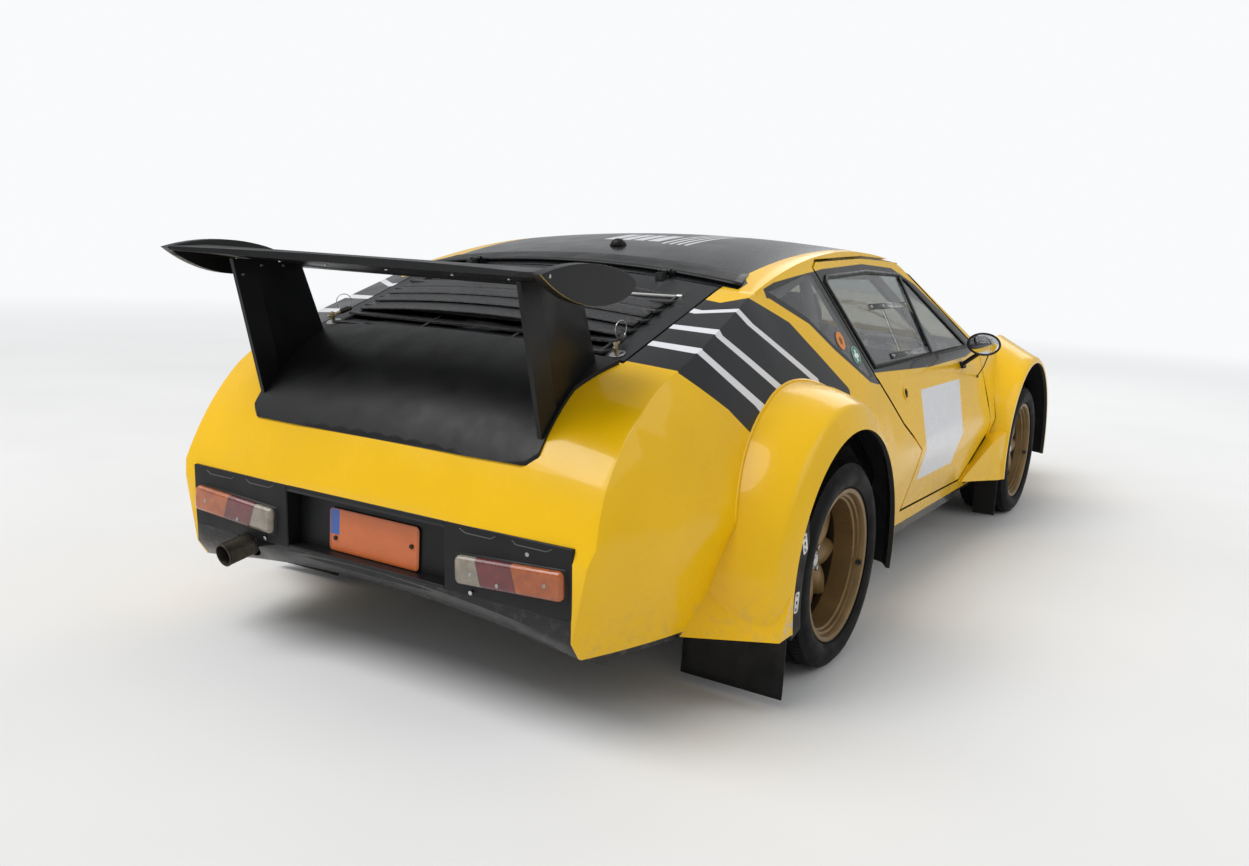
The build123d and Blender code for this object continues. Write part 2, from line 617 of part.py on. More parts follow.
def rim(side, y, width, out, dish):
    """A deep barrel, eight lobed spokes, the hub with its bearing bore and the brake disc."""
    edge = width / 2 - 20 + SEAT_GAP
    middle = out - width / 2
    x_out, x_in, lip = middle + edge + 8, middle - edge - 8, RIM_RADIUS + 8
    face = x_out - dish
    barrel = [
        (x_in, lip - 14), (x_in, lip), (x_in + 8, lip), (x_in + 8, RIM_RADIUS), (x_out - 8, RIM_RADIUS),
        (x_out - 8, lip), (x_out, lip), (x_out, lip - 14), (x_out - 30, RIM_RADIUS - 16),
        (face + 10, RIM_RADIUS - 28), (face - 20, RIM_RADIUS - 28), (face - 40, RIM_RADIUS - 9),
        (x_in + 26, RIM_RADIUS - 9),
    ]
    wheel = turned_x(barrel, y, HUB_Z)
    wheel += disc_x(face - 26, face + 10, y, HUB_Z, 52) + disc_x(face + 10, face + 30, y, HUB_Z, 26)
    for petal in range(8):
        spoke = Pos(face - 8, 0, 112) * Rot(0, 90, 0) * extrude(Ellipse(66, 27), amount=16, both=True)
        wheel += Pos(0, y, HUB_Z) * Rot(petal * 45, 0, 0) * spoke
    disc_at = face - 70
    wheel += disc_x(disc_at - 6, disc_at + 6, y, HUB_Z, 128) + disc_x(disc_at - 20, face - 20, y, HUB_Z, 44)
    wheel -= disc_x(disc_at - 30, face - 14, y, HUB_Z, 20 + SEAT_GAP)
    return wheel if side > 0 else mirror(wheel, about=Plane.YZ)


def hub_inner(tyre_out, dish):
    """X of the stub axle's outer end, inside the hub's bore."""
    return tyre_out - 20 + SEAT_GAP + 8 - dish - 16


BALL_RADIUS = 19.0
BALL_HEIGHTS = (139.0, 413.0)  # ball joints of the front wishbones
FRONT_DISH = 62.0
REAR_DISH = 92.0


def knuckle(side):
    y = front(0)
    low, high = [z + turn * (BALL_RADIUS + SEAT_GAP) for z, turn in zip(BALL_HEIGHTS, (1, -1))]
    upright = block(KINGPIN_X - 12, KINGPIN_X + 12, y - 20, y + 20, low, high)
    upright += disc_x(KINGPIN_X - 14, KINGPIN_X + 24, y, HUB_Z, 44)
    upright += prism_z([(KINGPIN_X, y + 10), (KINGPIN_X - 40, y + 110), (KINGPIN_X - 62, y + 110), (KINGPIN_X - 12, y + 10)], 236, 252)
    upright += disc_x(KINGPIN_X, hub_inner(FRONT_TYRE_OUT, FRONT_DISH), y, HUB_Z, 20)
    return upright if side > 0 else mirror(upright, about=Plane.YZ)


def arms(y, inner_x, outer_x, z_inner, z_outer, spread):
    """A wishbone from two inner pivots to one outer joint."""
    joint = Pos(outer_x, y, z_outer) * Sphere(BALL_RADIUS)
    ahead = rod((inner_x, y - spread, z_inner), (outer_x, y - 3, z_outer), 11)
    return joint + ahead + rod((inner_x, y + spread, z_inner), (outer_x, y + 3, z_outer), 11)


def front_suspension():
    y = front(0)
    low, high = BALL_HEIGHTS
    side = arms(y, 380, KINGPIN_X, 214, low, 110) + arms(y, 400, KINGPIN_X, 430, high, 70)
    side += rod((500, y + 10, 180), (440, y + 10, 560), 32)
    frame = block(-400, 400, y - 130, y + 130, FLOOR_Z + SKIN, 226) + block(380, 430, y - 90, y + 90, 190, 450)
    frame += block(-430, -380, y - 90, y + 90, 190, 450)
    return both(side) + frame


def rear_suspension():
    y, inner = rear(0), RAIL_OUT + SEAT_GAP
    side = block(584, 618, y - 26, y + 26, 150, 404)
    side += disc_x(DRIVE_FLANGE + SEAT_GAP, 590, y, HUB_Z, 18) + disc_x(590, hub_inner(REAR_TYRE_OUT, REAR_DISH), y, HUB_Z, 20)
    side += wishbone(y, inner, 600, RAIL_TOP - RAIL_HEIGHT / 2, 120)
    side += wishbone(y, inner, 600, TOWER_TOP - 14, 90)
    side += rod((552, y + 62, 190), (500, y + 62, 600), 34)
    return both(side)


def wishbone(y, inner_x, outer_x, z, spread):
    """A flat pressed arm, open in its middle."""
    ends = [(inner_x, y - spread - 12), (inner_x, y + spread + 12), (outer_x, y + 16), (outer_x, y - 16)]
    middle = [(inner_x - 1, y - spread + 14), (inner_x - 1, y + spread - 14), (outer_x - 80, y)]
    return prism_z(ends, z - 9, z + 9) - prism_z(middle, z - 10, z + 10)


def mudflap(y, x0, x1, low, high):
    return both(block(x0, x1, y, y + 6, low, high))


def dashboard():
    front_y = -1850 + SEAT_GAP
    shelf = from_rear([(front_y, 690), (front_y, 560), (-1700, 500), (-1560, 560), (-1540, 690), (-1600, 716)])
    dash = prism_x(shelf, -575, 575) & CABIN_INSIDE & NOSE_INSIDE
    dash += prism_x(from_rear([(-1610, 700), (-1600, 770), (-1510, 752), (-1545, 690)]), 190, 470)
    return dash


def steering_wheel():
    centre = (330, rear(-1370), 650)
    plane = Plane(origin=centre, x_dir=(1, 0, 0), z_dir=(0, -cos(radians(24)), -sin(radians(24))))
    wheel = plane * Torus(168, 13)
    wheel += extrude(plane * Circle(40), amount=10, both=True)
    for angle in (0, 180, 270):
        wheel += plane * Rot(0, 0, angle) * Pos(84, 0, 0) * Box(160, 26, 6)
    return wheel + rod(centre, (330, rear(-1548), 571), 18)


def seats():
    shell = from_rear([
        (-1160, 290), (-1160, 380), (-1100, 396), (-820, 350), (-740, 420), (-650, 900), (-600, 960), (-550, 950),
        (-560, 880), (-660, 360), (-710, 290),
    ])
    bolster = from_rear([
        (-1150, 290), (-1150, 440), (-1000, 436), (-850, 470), (-770, 620), (-700, 850), (-610, 870), (-640, 360),
        (-700, 290),
    ])
    both_seats = None
    for x in (-330, 330):
        seat = prism_x(shell, x - 175, x + 175)
        seat += prism_x(bolster, x - 215, x - 170) + prism_x(bolster, x + 170, x + 215)
        seat += block(x - 190, x - 160, rear(-1120), rear(-740), FLOOR_Z + SKIN + SEAT_GAP, 292)
        seat += block(x + 160, x + 190, rear(-1120), rear(-740), FLOOR_Z + SKIN + SEAT_GAP, 292)
        both_seats = seat if both_seats is None else both_seats + seat
    return both_seats


def roll_cage():
    """A main hoop, two front legs along the pillars and two stays to the rear shelf."""
    foot, r = FLOOR_Z + SKIN + SEAT_GAP, 19.0
    hoop_y, top_z = rear(-470), 1024.0
    leg = [(596, hoop_y, foot), (596, hoop_y, 700), (506, hoop_y, top_z)]
    hoop = leg + [(-x, y, z) for x, y, z in reversed(leg)]
    cage = tube_run(hoop, r) + rod((-596, hoop_y, 560), (596, hoop_y, 560), r * 0.8)
    for side in (-1, 1):
        run = [
            (side * 506, hoop_y, top_z), (side * 500, rear(-1100), 1020), (side * 596, rear(-1600), 762),
            (side * 600, rear(-1616), 700), (side * 600, rear(-1616), foot),
        ]
        cage += tube_run(run, r) + rod((side * 506, hoop_y, top_z), (side * 430, rear(-20), 800 + r), r)
    return cage


def wing():
    """The blade with its two pylons and drop-shaped end plates."""
    section = from_rear([(650, 990), (664, 1004), (760, 1026), (880, 1030), (979, 1024), (979, 1014), (880, 1008), (760, 994), (664, 980)])
    blade = prism_x(section, -550, 550)
    trailing = Pos(0, rear(916) + 2250, 990) * Cylinder(2250, 200)
    blade -= trailing
    plate = make_face([
        *ThreePointArc((0, rear(592), 1002), (0, rear(777), 956), (0, rear(983), 1021)).edges(),
        *ThreePointArc((0, rear(983), 1021), (0, rear(729), 1038), (0, rear(592), 1002)).edges(),
    ])
    plate = extrude(Pos(548, 0, 0) * plate, amount=28, dir=(1, 0, 0))
    pylon = prism_x(from_rear([(560, 770), (778, 640), (880, 1000), (664, 1000)]), 438, 450)
    pylon = pylon - Pos(0, 0, COVER_RISE + SEAT_GAP) * CABIN
    return blade + both(plate) + both(pylon)


def wheels():
    corners = (
        ("front", front(0), FRONT_TYRE_WIDTH, FRONT_TYRE_OUT, FRONT_DISH),
        ("rear", rear(0), REAR_TYRE_WIDTH, REAR_TYRE_OUT, REAR_DISH),
    )
    for end, y, width, out, dish in corners:
        for hand, side in (("left", 1), ("right", -1)):
            write(f"tyre_{end}_{hand}", tyre(side, y, width, out))
            write(f"rim_{end}_{hand}", rim(side, y, width, out, dish))


def main():
    pieces = {
        "front_body": front_body, "roof": roof, "rear_body": rear_body, "tail_cover": tail_cover,
        "engine_lid": engine_lid, "front_lid": front_lid, "flares_front": flares_front, "flares_rear": flares_rear,
        "floor_pan": floor_pan, "windscreen": windscreen, "lamp_cover": lamp_cover, "headlamps": headlamps,
        "front_spoiler": front_spoiler, "tail_panel": tail_panel, "tail_lamps": tail_lamps,
        "number_plate": number_plate, "exhaust": exhaust, "engine": engine, "front_suspension": front_suspension,
        "rear_suspension": rear_suspension, "dashboard": dashboard, "steering_wheel": steering_wheel,
        "seats": seats, "roll_cage": roll_cage, "wing": wing,
    }
    for name, make in pieces.items():
        write(name, make())
    write("front_liners", liner(front(0), FRONT_ARCH, 486, NOSE_INSIDE, 150))
    write("rear_liners", liner(rear(0), REAR_ARCH, 624, CABIN_INSIDE, 130))
    write("quarter_windows", both(pane(QUARTER_WINDOW, 1)))
    write("mudflaps_front", mudflap(rear(-1870), 762, 850, 60, FRONT_FLARE_LOW - SEAT_GAP))
    write("mudflaps_rear", mudflap(rear(362), 640, 870, 40, REAR_FLARE_LOW - SEAT_GAP))
    for hand, side in (("left", 1), ("right", -1)):
        write(f"door_{hand}", door(side))
        write(f"door_glass_{hand}", pane(DOOR_WINDOW, side))
        write(f"mirror_{hand}", door_mirror(side))
        write(f"knuckle_{hand}", knuckle(side))
    wheels()


main()
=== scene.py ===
import json
from math import cos, pi, radians, sin, tau

import bmesh
import bpy
from mathutils import Matrix, Vector
from mathutils.bvhtree import BVHTree

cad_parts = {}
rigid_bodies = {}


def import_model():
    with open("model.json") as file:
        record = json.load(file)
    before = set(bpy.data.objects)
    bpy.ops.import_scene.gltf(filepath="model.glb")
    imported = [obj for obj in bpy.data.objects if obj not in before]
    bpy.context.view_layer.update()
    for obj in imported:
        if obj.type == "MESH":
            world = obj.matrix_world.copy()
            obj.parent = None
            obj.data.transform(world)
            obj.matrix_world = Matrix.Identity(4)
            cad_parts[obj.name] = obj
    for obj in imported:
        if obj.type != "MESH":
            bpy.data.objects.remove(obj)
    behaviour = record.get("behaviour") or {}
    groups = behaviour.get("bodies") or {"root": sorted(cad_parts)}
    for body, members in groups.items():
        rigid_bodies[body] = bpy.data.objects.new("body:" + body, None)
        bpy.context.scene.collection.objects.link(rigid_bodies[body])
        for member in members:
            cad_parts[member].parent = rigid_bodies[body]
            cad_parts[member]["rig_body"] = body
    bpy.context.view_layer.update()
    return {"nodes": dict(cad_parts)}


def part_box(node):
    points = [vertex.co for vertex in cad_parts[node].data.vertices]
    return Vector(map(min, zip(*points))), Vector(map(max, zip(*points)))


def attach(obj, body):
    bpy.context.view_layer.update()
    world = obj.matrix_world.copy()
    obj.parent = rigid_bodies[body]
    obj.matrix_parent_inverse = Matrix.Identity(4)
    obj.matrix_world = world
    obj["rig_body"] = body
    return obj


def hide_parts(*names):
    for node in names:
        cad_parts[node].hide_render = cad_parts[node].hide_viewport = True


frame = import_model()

bl_info = {
    "name": "Rally car dressing",
    "version": (1, 0, 0),
    "blender": (4, 5, 0),
    "location": "View3D > Sidebar > Rally car",
    "description": "Paint, wheels, lamps, glazing and trim for the packed rally car",
    "category": "Object",
}

# Places that the frame gives, in metres: the nose points to -Y and the car's left is +X
MM = 0.001


def middle(node):
    low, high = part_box(node)
    return (low + high) / 2


REAR_HUB = middle("rim_rear_left")
FRONT_HUB = middle("rim_front_left")
REAR_AXLE = REAR_HUB.y
FRONT_AXLE = FRONT_HUB.y
HUB_Z = REAR_HUB.z
BELT_Z = 0.712
CREASE_Z = 0.462
SIDES = (("left", 1), ("right", -1))


def rear(offset):
    """Y of a place given from the rear axle, rearwards positive."""
    return REAR_AXLE + offset


# Settings that a user would change


class CarPaint(bpy.types.PropertyGroup):
    """Colours of the body, wheels and plate."""

    yellow: bpy.props.FloatVectorProperty(
        name="Body yellow", description="Main body colour", subtype="COLOR", default=(0.88, 0.515, 0.002))
    black: bpy.props.FloatVectorProperty(
        name="Gloss black", description="Roof and stripe band", subtype="COLOR", default=(0.0075, 0.008, 0.0095))
    white: bpy.props.FloatVectorProperty(
        name="Stripe white", description="Stripes and number panel", subtype="COLOR", default=(0.74, 0.75, 0.78))
    satin: bpy.props.FloatVectorProperty(
        name="Satin black", description="Lid frame, tail cover and wing", subtype="COLOR", default=(0.0055, 0.0057, 0.0065))
    bronze: bpy.props.FloatVectorProperty(
        name="Wheel bronze", description="Wheel paint", subtype="COLOR", default=(0.235, 0.15, 0.06))
    plate: bpy.props.FloatVectorProperty(
        name="Plate orange", description="Blank rear plate", subtype="COLOR", default=(0.66, 0.15, 0.03))


class CarSizes(bpy.types.PropertyGroup):
    """Sizes of the added trim."""

    edge: bpy.props.FloatProperty(
        name="Panel edge", description="Radius on the edges of body panels", unit="LENGTH", default=0.003)
    seal: bpy.props.FloatProperty(
        name="Window seal", description="Width of the rubber round the glass", unit="LENGTH", default=0.014)
    bead: bpy.props.FloatProperty(
        name="Arch bead", description="Radius of the sealing bead round the wide arches", unit="LENGTH", default=0.004)
    groove: bpy.props.FloatProperty(
        name="Tread depth", description="Depth of the tyre tread", unit="LENGTH", default=0.006)
    petals: bpy.props.IntProperty(
        name="Wheel petals", description="Lobed spokes in each wheel", default=8, min=3, max=16)
    floor: bpy.props.FloatProperty(
        name="Floor size", description="Side of the studio floor", unit="LENGTH", default=90.0)


# Node materials


FINISHES = {}


class Finish:
    """A node material while it is being put together."""

    def __init__(self, name, roughness=0.5, **sockets):
        self.material = FINISHES[name] = bpy.data.materials.new(name)
        self.material.use_nodes = True
        self.tree = self.material.node_tree
        self.shader = self.tree.nodes["Principled BSDF"]
        self.shader.inputs["Roughness"].default_value = roughness
        for label, value in sockets.items():
            self.shader.inputs[label.replace("_", " ")].default_value = value
        self.place = self.tree.nodes.new("ShaderNodeTexCoord").outputs["Object"]
        self.x, self.y, self.z = self.node("ShaderNodeSeparateXYZ", self.place).outputs
        self.side = self.math("ABSOLUTE", self.x)

    def node(self, kind, *values, **settings):
        made = self.tree.nodes.new(kind)
        for key, value in settings.items():
            setattr(made, key, value)
        for socket, value in zip(made.inputs, values):
            self.feed(socket, value)
        return made

    def feed(self, socket, value):
        if isinstance(value, bpy.types.NodeSocket):
            self.tree.links.new(value, socket)
        elif value is not None:
            socket.default_value = value

    def math(self, operation, *values):
        return self.node("ShaderNodeMath", *values, operation=operation).outputs[0]

    def ramp(self, value, low, high, start=0.0, end=1.0):
        return self.node("ShaderNodeMapRange", value, low, high, start, end).outputs[0]

    def noise(self, scale, detail=3.0, roughness=0.55, stretch=(1, 1, 1), distortion=0.0):
        place = self.node("ShaderNodeMapping", self.place, None, None, stretch).outputs[0]
        made = self.node("ShaderNodeTexNoise", place)
        made.inputs["Scale"].default_value = scale
        made.inputs["Detail"].default_value = detail
        made.inputs["Roughness"].default_value = roughness
        made.inputs["Distortion"].default_value = distortion
        return made.outputs["Fac"]

    def cells(self, scale, stretch=(1, 1, 1)):
        place = self.node("ShaderNodeMapping", self.place, None, None, stretch).outputs[0]
        made = self.node("ShaderNodeTexVoronoi", place)
        made.inputs["Scale"].default_value = scale
        return made.outputs["Distance"]

    def mix(self, factor, first, second):
        made = self.tree.nodes.new("ShaderNodeMix")
        made.data_type = "RGBA"
        sockets = [s for s in made.inputs if s.type == "RGBA"]
        self.feed(made.inputs[0], factor)
        for socket, value in zip(sockets, (first, second)):
            self.feed(socket, (*value, 1.0) if isinstance(value, tuple) and len(value) == 3 else value)
        return [s for s in made.outputs if s.type == "RGBA"][0]

    def polyline(self, value, points):
        """A level that follows (value, level) points with straight runs, level outside them."""
        total = None
        for (x0, y0), (x1, y1) in zip(points, points[1:]):
            step = self.ramp(value, x0, x1, 0.0, y1 - y0)
            total = self.math("ADD", step, points[0][1] if total is None else total)
        return total

    def above(self, value, level, soft=0.0006):
        """1 where value is over level, with a thin soft edge."""
        gap = self.math("SUBTRACT", value, level)
        return self.ramp(gap, -soft, soft)

    def both(self, *masks):
        made = masks[0]
        for mask in masks[1:]:
            made = self.math("MULTIPLY", made, mask)
        return made

    def either(self, *masks):
        made = masks[0]
        for mask in masks[1:]:
            made = self.math("MAXIMUM", made, mask)
        return made

    def between(self, value, low, high, soft=0.0006):
        return self.both(self.above(value, low, soft), self.above(self.flip(value), self.flip(high), soft))

    def flip(self, value):
        return self.math("MULTIPLY", value, -1.0) if isinstance(value, bpy.types.NodeSocket) else -value

    def colour(self, value):
        self.feed(self.shader.inputs["Base Color"], value)
        return self

    def rough(self, low, high, scale=6.0, stretch=(1, 1, 1)):
        spread = self.ramp(self.noise(scale, 4.0, stretch=stretch), 0.3, 0.7, low, high)
        self.feed(self.shader.inputs["Roughness"], spread)
        return self

    def bump(self, height, strength=0.3, distance=0.001):
        made = self.tree.nodes.new("ShaderNodeBump")
        made.inputs["Strength"].default_value = strength
        made.inputs["Distance"].default_value = distance
        self.feed(made.inputs["Height"], height)
        before = self.shader.inputs["Normal"]
        if before.is_linked:
            self.tree.links.new(before.links[0].from_socket, made.inputs["Normal"])
        self.tree.links.new(made.outputs["Normal"], before)
        return self


def shade(colour, factor):
    return tuple(min(1.0, part * factor) for part in tuple(colour)[:3])


DUST = (0.32, 0.27, 0.2)


def inside(make):
    """1 on the inner sides of the shell, which face the car's middle line; paint() lays painted shade there."""
    normal = make.tree.nodes.new("ShaderNodeNewGeometry").outputs["Normal"]
    across, _, up = make.node("ShaderNodeSeparateXYZ", normal).outputs
    lift = make.math("MULTIPLY", up, make.math("SUBTRACT", make.z, 0.45))
    inward = make.math("ADD", make.math("MULTIPLY", across, make.x), lift)
    return make.above(-0.05, inward, 0.01)


def wheel_well(make):
    """1 on the body's side where a wide arch covers it."""
    reaches = []
    for axle in (REAR_AXLE, FRONT_AXLE):
        squares = [make.math("POWER", make.math("SUBTRACT", *pair), 2.0) for pair in ((make.y, axle), (make.z, HUB_Z))]
        reaches.append(make.math("SQRT", make.math("ADD", *squares)))
    low = make.both(make.above(make.side, 0.5), make.above(0.62, make.z))
    return make.both(make.above(0.448, make.math("MINIMUM", *reaches)), make.either(make.above(make.side, 0.703), low))


def paint(name, colours, marks=(), dust_top=0.36, shade_and_underbody=True):
    """Gloss paint with faint mottling, orange peel, road dust low down, and marks laid over it."""
    make = Finish(name, Coat_Weight=0.35, Coat_Roughness=0.04, Specular_IOR_Level=0.2)
    mottle = make.ramp(make.noise(2.3, 4.0), 0.35, 0.65)
    coat = make.mix(mottle, shade(colours.yellow, 0.95), shade(colours.yellow, 1.03))
    film = make.ramp(make.noise(5.0, 5.0, 0.6), 0.52, 0.8, 0.0, 0.05)
    coat = make.mix(film, coat, shade(DUST, 1.4))
    for mark in marks:
        mask, tone = mark(make, colours)
        coat = make.mix(mask, coat, tone)
    # Painted shade: the inner sides of the shell, toward the cabin, are painted satin black for the dark inside of the
    # car. Below z 0.2035 the satin black is the underbody coating, and the body inside the wide arches is satin black
    # too.
    if shade_and_underbody:
        inner_shade_and_underbody = make.either(inside(make), wheel_well(make), make.above(0.2035, make.z))
        coat = make.mix(inner_shade_and_underbody, coat, shade(colours.satin, 1.5))
    low = make.ramp(make.z, dust_top, 0.16)
    specks = make.ramp(make.noise(34.0, 6.0, 0.7), 0.5, 0.72)
    coat = make.mix(make.math("MULTIPLY", make.math("MULTIPLY", low, specks), 0.35), coat, DUST)
    make.colour(coat)
    make.rough(0.2, 0.32, 9.0)
    make.bump(make.noise(420.0, 2.0), 0.03, 0.0004)
    make.bump(make.noise(3.2, 2.0), 0.08, 0.006)
    return make.material


# Lines of the stripe band across each rear quarter: (half width - height, Y from the rear axle), in metres
BAND_FRONT = ((-0.40, 0.160), (-0.255, -0.078), (0.04, -0.315))
BAND_REAR = ((-0.40, 0.545), (-0.165, 0.521), (0.09, 0.287))
BAND_WHITES = (
    ((-0.40, 0.232), (-0.27, 0.140), (-0.03, -0.110)),
    ((-0.40, 0.336), (-0.25, 0.306), (-0.005, 0.078)),
    ((-0.40, 0.440), (-0.215, 0.415), (0.038, 0.205)),
)
WHITE_HALF = ((-0.40, 0.0125), (-0.2, 0.016), (0.04, 0.021))


def stripe_parts(make):
    across = make.math("SUBTRACT", make.side, make.z)
    along = make.math("SUBTRACT", make.y, REAR_AXLE)
    high = make.above(make.z, 0.6)
    front = make.polyline(across, BAND_FRONT)
    back = make.polyline(across, BAND_REAR)
    band = make.both(make.between(along, front, back, 0.0008), high)
    half = make.polyline(across, WHITE_HALF)
    whites = []
    for line in BAND_WHITES:
        gap = make.math("ABSOLUTE", make.math("SUBTRACT", along, make.polyline(across, line)))
        whites.append(make.above(half, gap, 0.0008))
    return band, make.both(make.either(*whites), high)


def quarter_band(make, colours):
    return stripe_parts(make)[0], tuple(colours.black)


def quarter_whites(make, colours):
    return stripe_parts(make)[1], tuple(colours.white)


# Black round the side windows, as (Y from the rear axle, height)
FRAME_TOP = ((-1.72, 0.78), (-1.452, 0.913), (-1.281, 0.993), (-1.087, 1.048), (-0.803, 1.059), (-0.434, 1.041),
             (-0.223, 1.020), (-0.071, 1.003), (0.01, 0.985))
QUARTER_LOW = ((-0.56, 0.700), (-0.494, 0.712), (-0.311, 0.814), (-0.200, 0.890), (-0.010, 0.962))
FRAME_BELT = ((-1.76, 0.742), (-1.60, 0.722), (-1.10, 0.716), (-0.46, 0.738))


def door_frame(make, colours):
    """The black window frame of a door, between the belt and the yellow rail under the roof's edge."""
    along = make.math("SUBTRACT", make.y, REAR_AXLE)
    mask = make.between(make.z, make.polyline(along, FRAME_BELT), make.polyline(along, FRAME_TOP), 0.001)
    return mask, shade(colours.satin, 1.1)


def quarter_frame(make, colours):
    """Black pillar and surround of the fixed quarter window."""
    along = make.math("SUBTRACT", make.y, REAR_AXLE)
    height = make.between(make.z, make.polyline(along, QUARTER_LOW), make.polyline(along, FRAME_TOP), 0.001)
    return make.both(height, make.between(along, -0.60, 0.004), make.above(make.side, 0.53)), shade(colours.satin, 1.1)


def tail_black_and_shade(make, colours):
    """The black ground round the tail panel, which is real, and the satin black under it, which is partly painted shade
    for the dark under the tail.
    """
    along = make.math("SUBTRACT", make.y, REAR_AXLE)
    back = make.both(make.above(along, 0.70), make.above(0.455, make.z), make.above(0.604, make.side))
    return back, shade(colours.satin, 1.2)


ROOF_EDGE = ((-1.30, 0.490), (-1.05, 0.512), (-0.534, 0.525), (-0.175, 0.515), (-0.049, 0.512), (0.005, 0.550))


def roof_black(make, colours):
    along = make.math("SUBTRACT", make.y, REAR_AXLE)
    mask = make.both(make.above(make.polyline(along, ROOF_EDGE), make.side), make.above(along, -1.215))
    return mask, tuple(colours.black)


def roof_stripes(make, colours):
    """Four thin stripes along the roof and a block of pale squares where they start."""
    along = make.math("SUBTRACT", make.y, REAR_AXLE)
    lines = [make.between(make.x, x - 0.006, x + 0.006) for x in (-0.105, -0.132, -0.159, -0.186)]
    return make.both(make.either(*lines), make.between(along, -1.16, -0.30)), tuple(colours.white)


def roof_block(make, colours):
    along = make.math("SUBTRACT", make.y, REAR_AXLE)
    frame_mask = make.both(make.between(make.x, -0.075, 0.13), make.between(along, -0.50, -0.33))
    slots = [make.between(make.x, x - 0.007, x + 0.007) for x in (-0.024, 0.027, 0.078)]
    return make.both(frame_mask, make.math("SUBTRACT", 1.0, make.either(*slots))), tuple(colours.white)


# The blank competition panel on each door, folded over the crease
PANEL_FRONT = ((0.345, -1.335), (0.463, -1.372), (0.650, -1.446))
PANEL_REAR = ((0.345, -0.915), (0.463, -0.919), (0.652, -0.968))


def number_panel(make, colours):
    along = make.math("SUBTRACT", make.y, REAR_AXLE)
    inside = make.between(along, make.polyline(make.z, PANEL_FRONT), make.polyline(make.z, PANEL_REAR), 0.0008)
    return make.both(inside, make.between(make.z, 0.35, 0.65), make.above(make.side, 0.7)), shade(colours.white, 1.0)


CHIP_AT = Vector((-0.89, rear(0.372), 0.215))


def chips(make, colours):
    """Broken and bared paint at the low corner of the right rear arch."""
    gap = make.node("ShaderNodeVectorMath", make.place, tuple(CHIP_AT), operation="DISTANCE").outputs["Value"]
    near = make.ramp(gap, 0.11, 0.0, 0.0, 0.24)
    flake = make.above(make.math("ADD", make.noise(70.0, 4.0, 0.6), near), 0.79, 0.01)
    return make.both(flake, make.above(near, 0.02)), (0.5, 0.49, 0.45)


def satin(name, colours, low=0.34, high=0.5, tone=1.0, scratches=0.05, edge=None):
    make = Finish(name, Specular_IOR_Level=0.3)
    worn = make.ramp(make.noise(3.0, 5.0, 0.6), 0.45, 0.75)
    streak = make.ramp(make.noise(40.0, 5.0, 0.7, (1, 0.12, 1)), 0.6, 0.8)
    base = make.mix(worn, shade(colours.satin, tone), shade(colours.satin, 1.5 * tone))
    base = make.mix(make.math("MULTIPLY", streak, 0.12), base, (0.06, 0.058, 0.054))
    make.colour(make.mix(make.above(make.side, edge), base, (0.3, 0.22, 0.07)) if edge else base)
    make.rough(low, high, 14.0)
    make.bump(make.noise(900.0, 3.0), scratches, 0.0004)
    return make.material


def crinkled(name, colours):
    """Rough moulded black: a coarse crinkle on the slats, smoother on the frame round them."""
    make = Finish(name, Specular_IOR_Level=0.5)
    inner = make.both(make.above(0.437, make.side), make.between(make.y, rear(0.160), rear(0.492)))
    grain = make.noise(95.0, 5.0, 0.7, (1, 1.6, 1.6), 0.6)
    grey = make.mix(make.ramp(grain, 0.45, 0.7), (0.004, 0.004, 0.005), (0.03, 0.031, 0.034))
    speck = make.mix(make.ramp(make.noise(300.0, 2.0), 0.5, 0.75), (0.006, 0.0065, 0.0075), (0.016, 0.017, 0.019))
    make.colour(make.mix(inner, speck, grey))
    make.feed(make.shader.inputs["Roughness"], make.ramp(inner, 0.0, 1.0, 0.5, 0.36))
    make.bump(make.math("MULTIPLY", inner, grain), 0.9, 0.004)
    make.bump(make.noise(380.0, 3.0), 0.12, 0.0006)
    return make.material


def rubber(name, tone=0.006, low=0.55, high=0.75, dusty=0.2):
    make = Finish(name, Specular_IOR_Level=0.25)
    powder = make.ramp(make.noise(9.0, 6.0, 0.65), 0.42, 0.8)
    make.colour(make.mix(make.math("MULTIPLY", powder, dusty), (tone, tone, tone * 1.05), (0.085, 0.078, 0.068)))
    make.rough(low, high, 22.0)
    make.bump(make.noise(260.0, 3.0), 0.1, 0.0006)
    return make.material


def tyre_rubber(name):
    """Black rubber with dust in the tread and faint rings on the wall."""
    make = Finish(name, Specular_IOR_Level=0.16)
    height = make.math("SUBTRACT", make.z, HUB_Z)
    parts = []
    for axle in (REAR_AXLE, FRONT_AXLE):
        along = make.math("SUBTRACT", make.y, axle)
        reach = make.math("SQRT", make.math("ADD", make.math("POWER", along, 2.0), make.math("POWER", height, 2.0)))
        parts.append(reach)
    reach = make.math("MINIMUM", *parts)
    rings = make.math("SINE", make.math("MULTIPLY", reach, 900.0))
    dust = make.ramp(make.noise(14.0, 6.0, 0.7), 0.4, 0.75)
    worn = make.ramp(reach, 0.262, 0.279)
    amount = make.math("ADD", make.math("MULTIPLY", dust, 0.28), make.math("MULTIPLY", worn, 0.22))
    make.colour(make.mix(make.math("MULTIPLY", amount, 0.25), (0.002, 0.002, 0.0023), (0.05, 0.046, 0.04)))
    make.rough(0.5, 0.72, 18.0)
    make.bump(rings, 0.12, 0.0006)
    make.bump(make.noise(240.0, 4.0), 0.15, 0.0006)
    return make.material


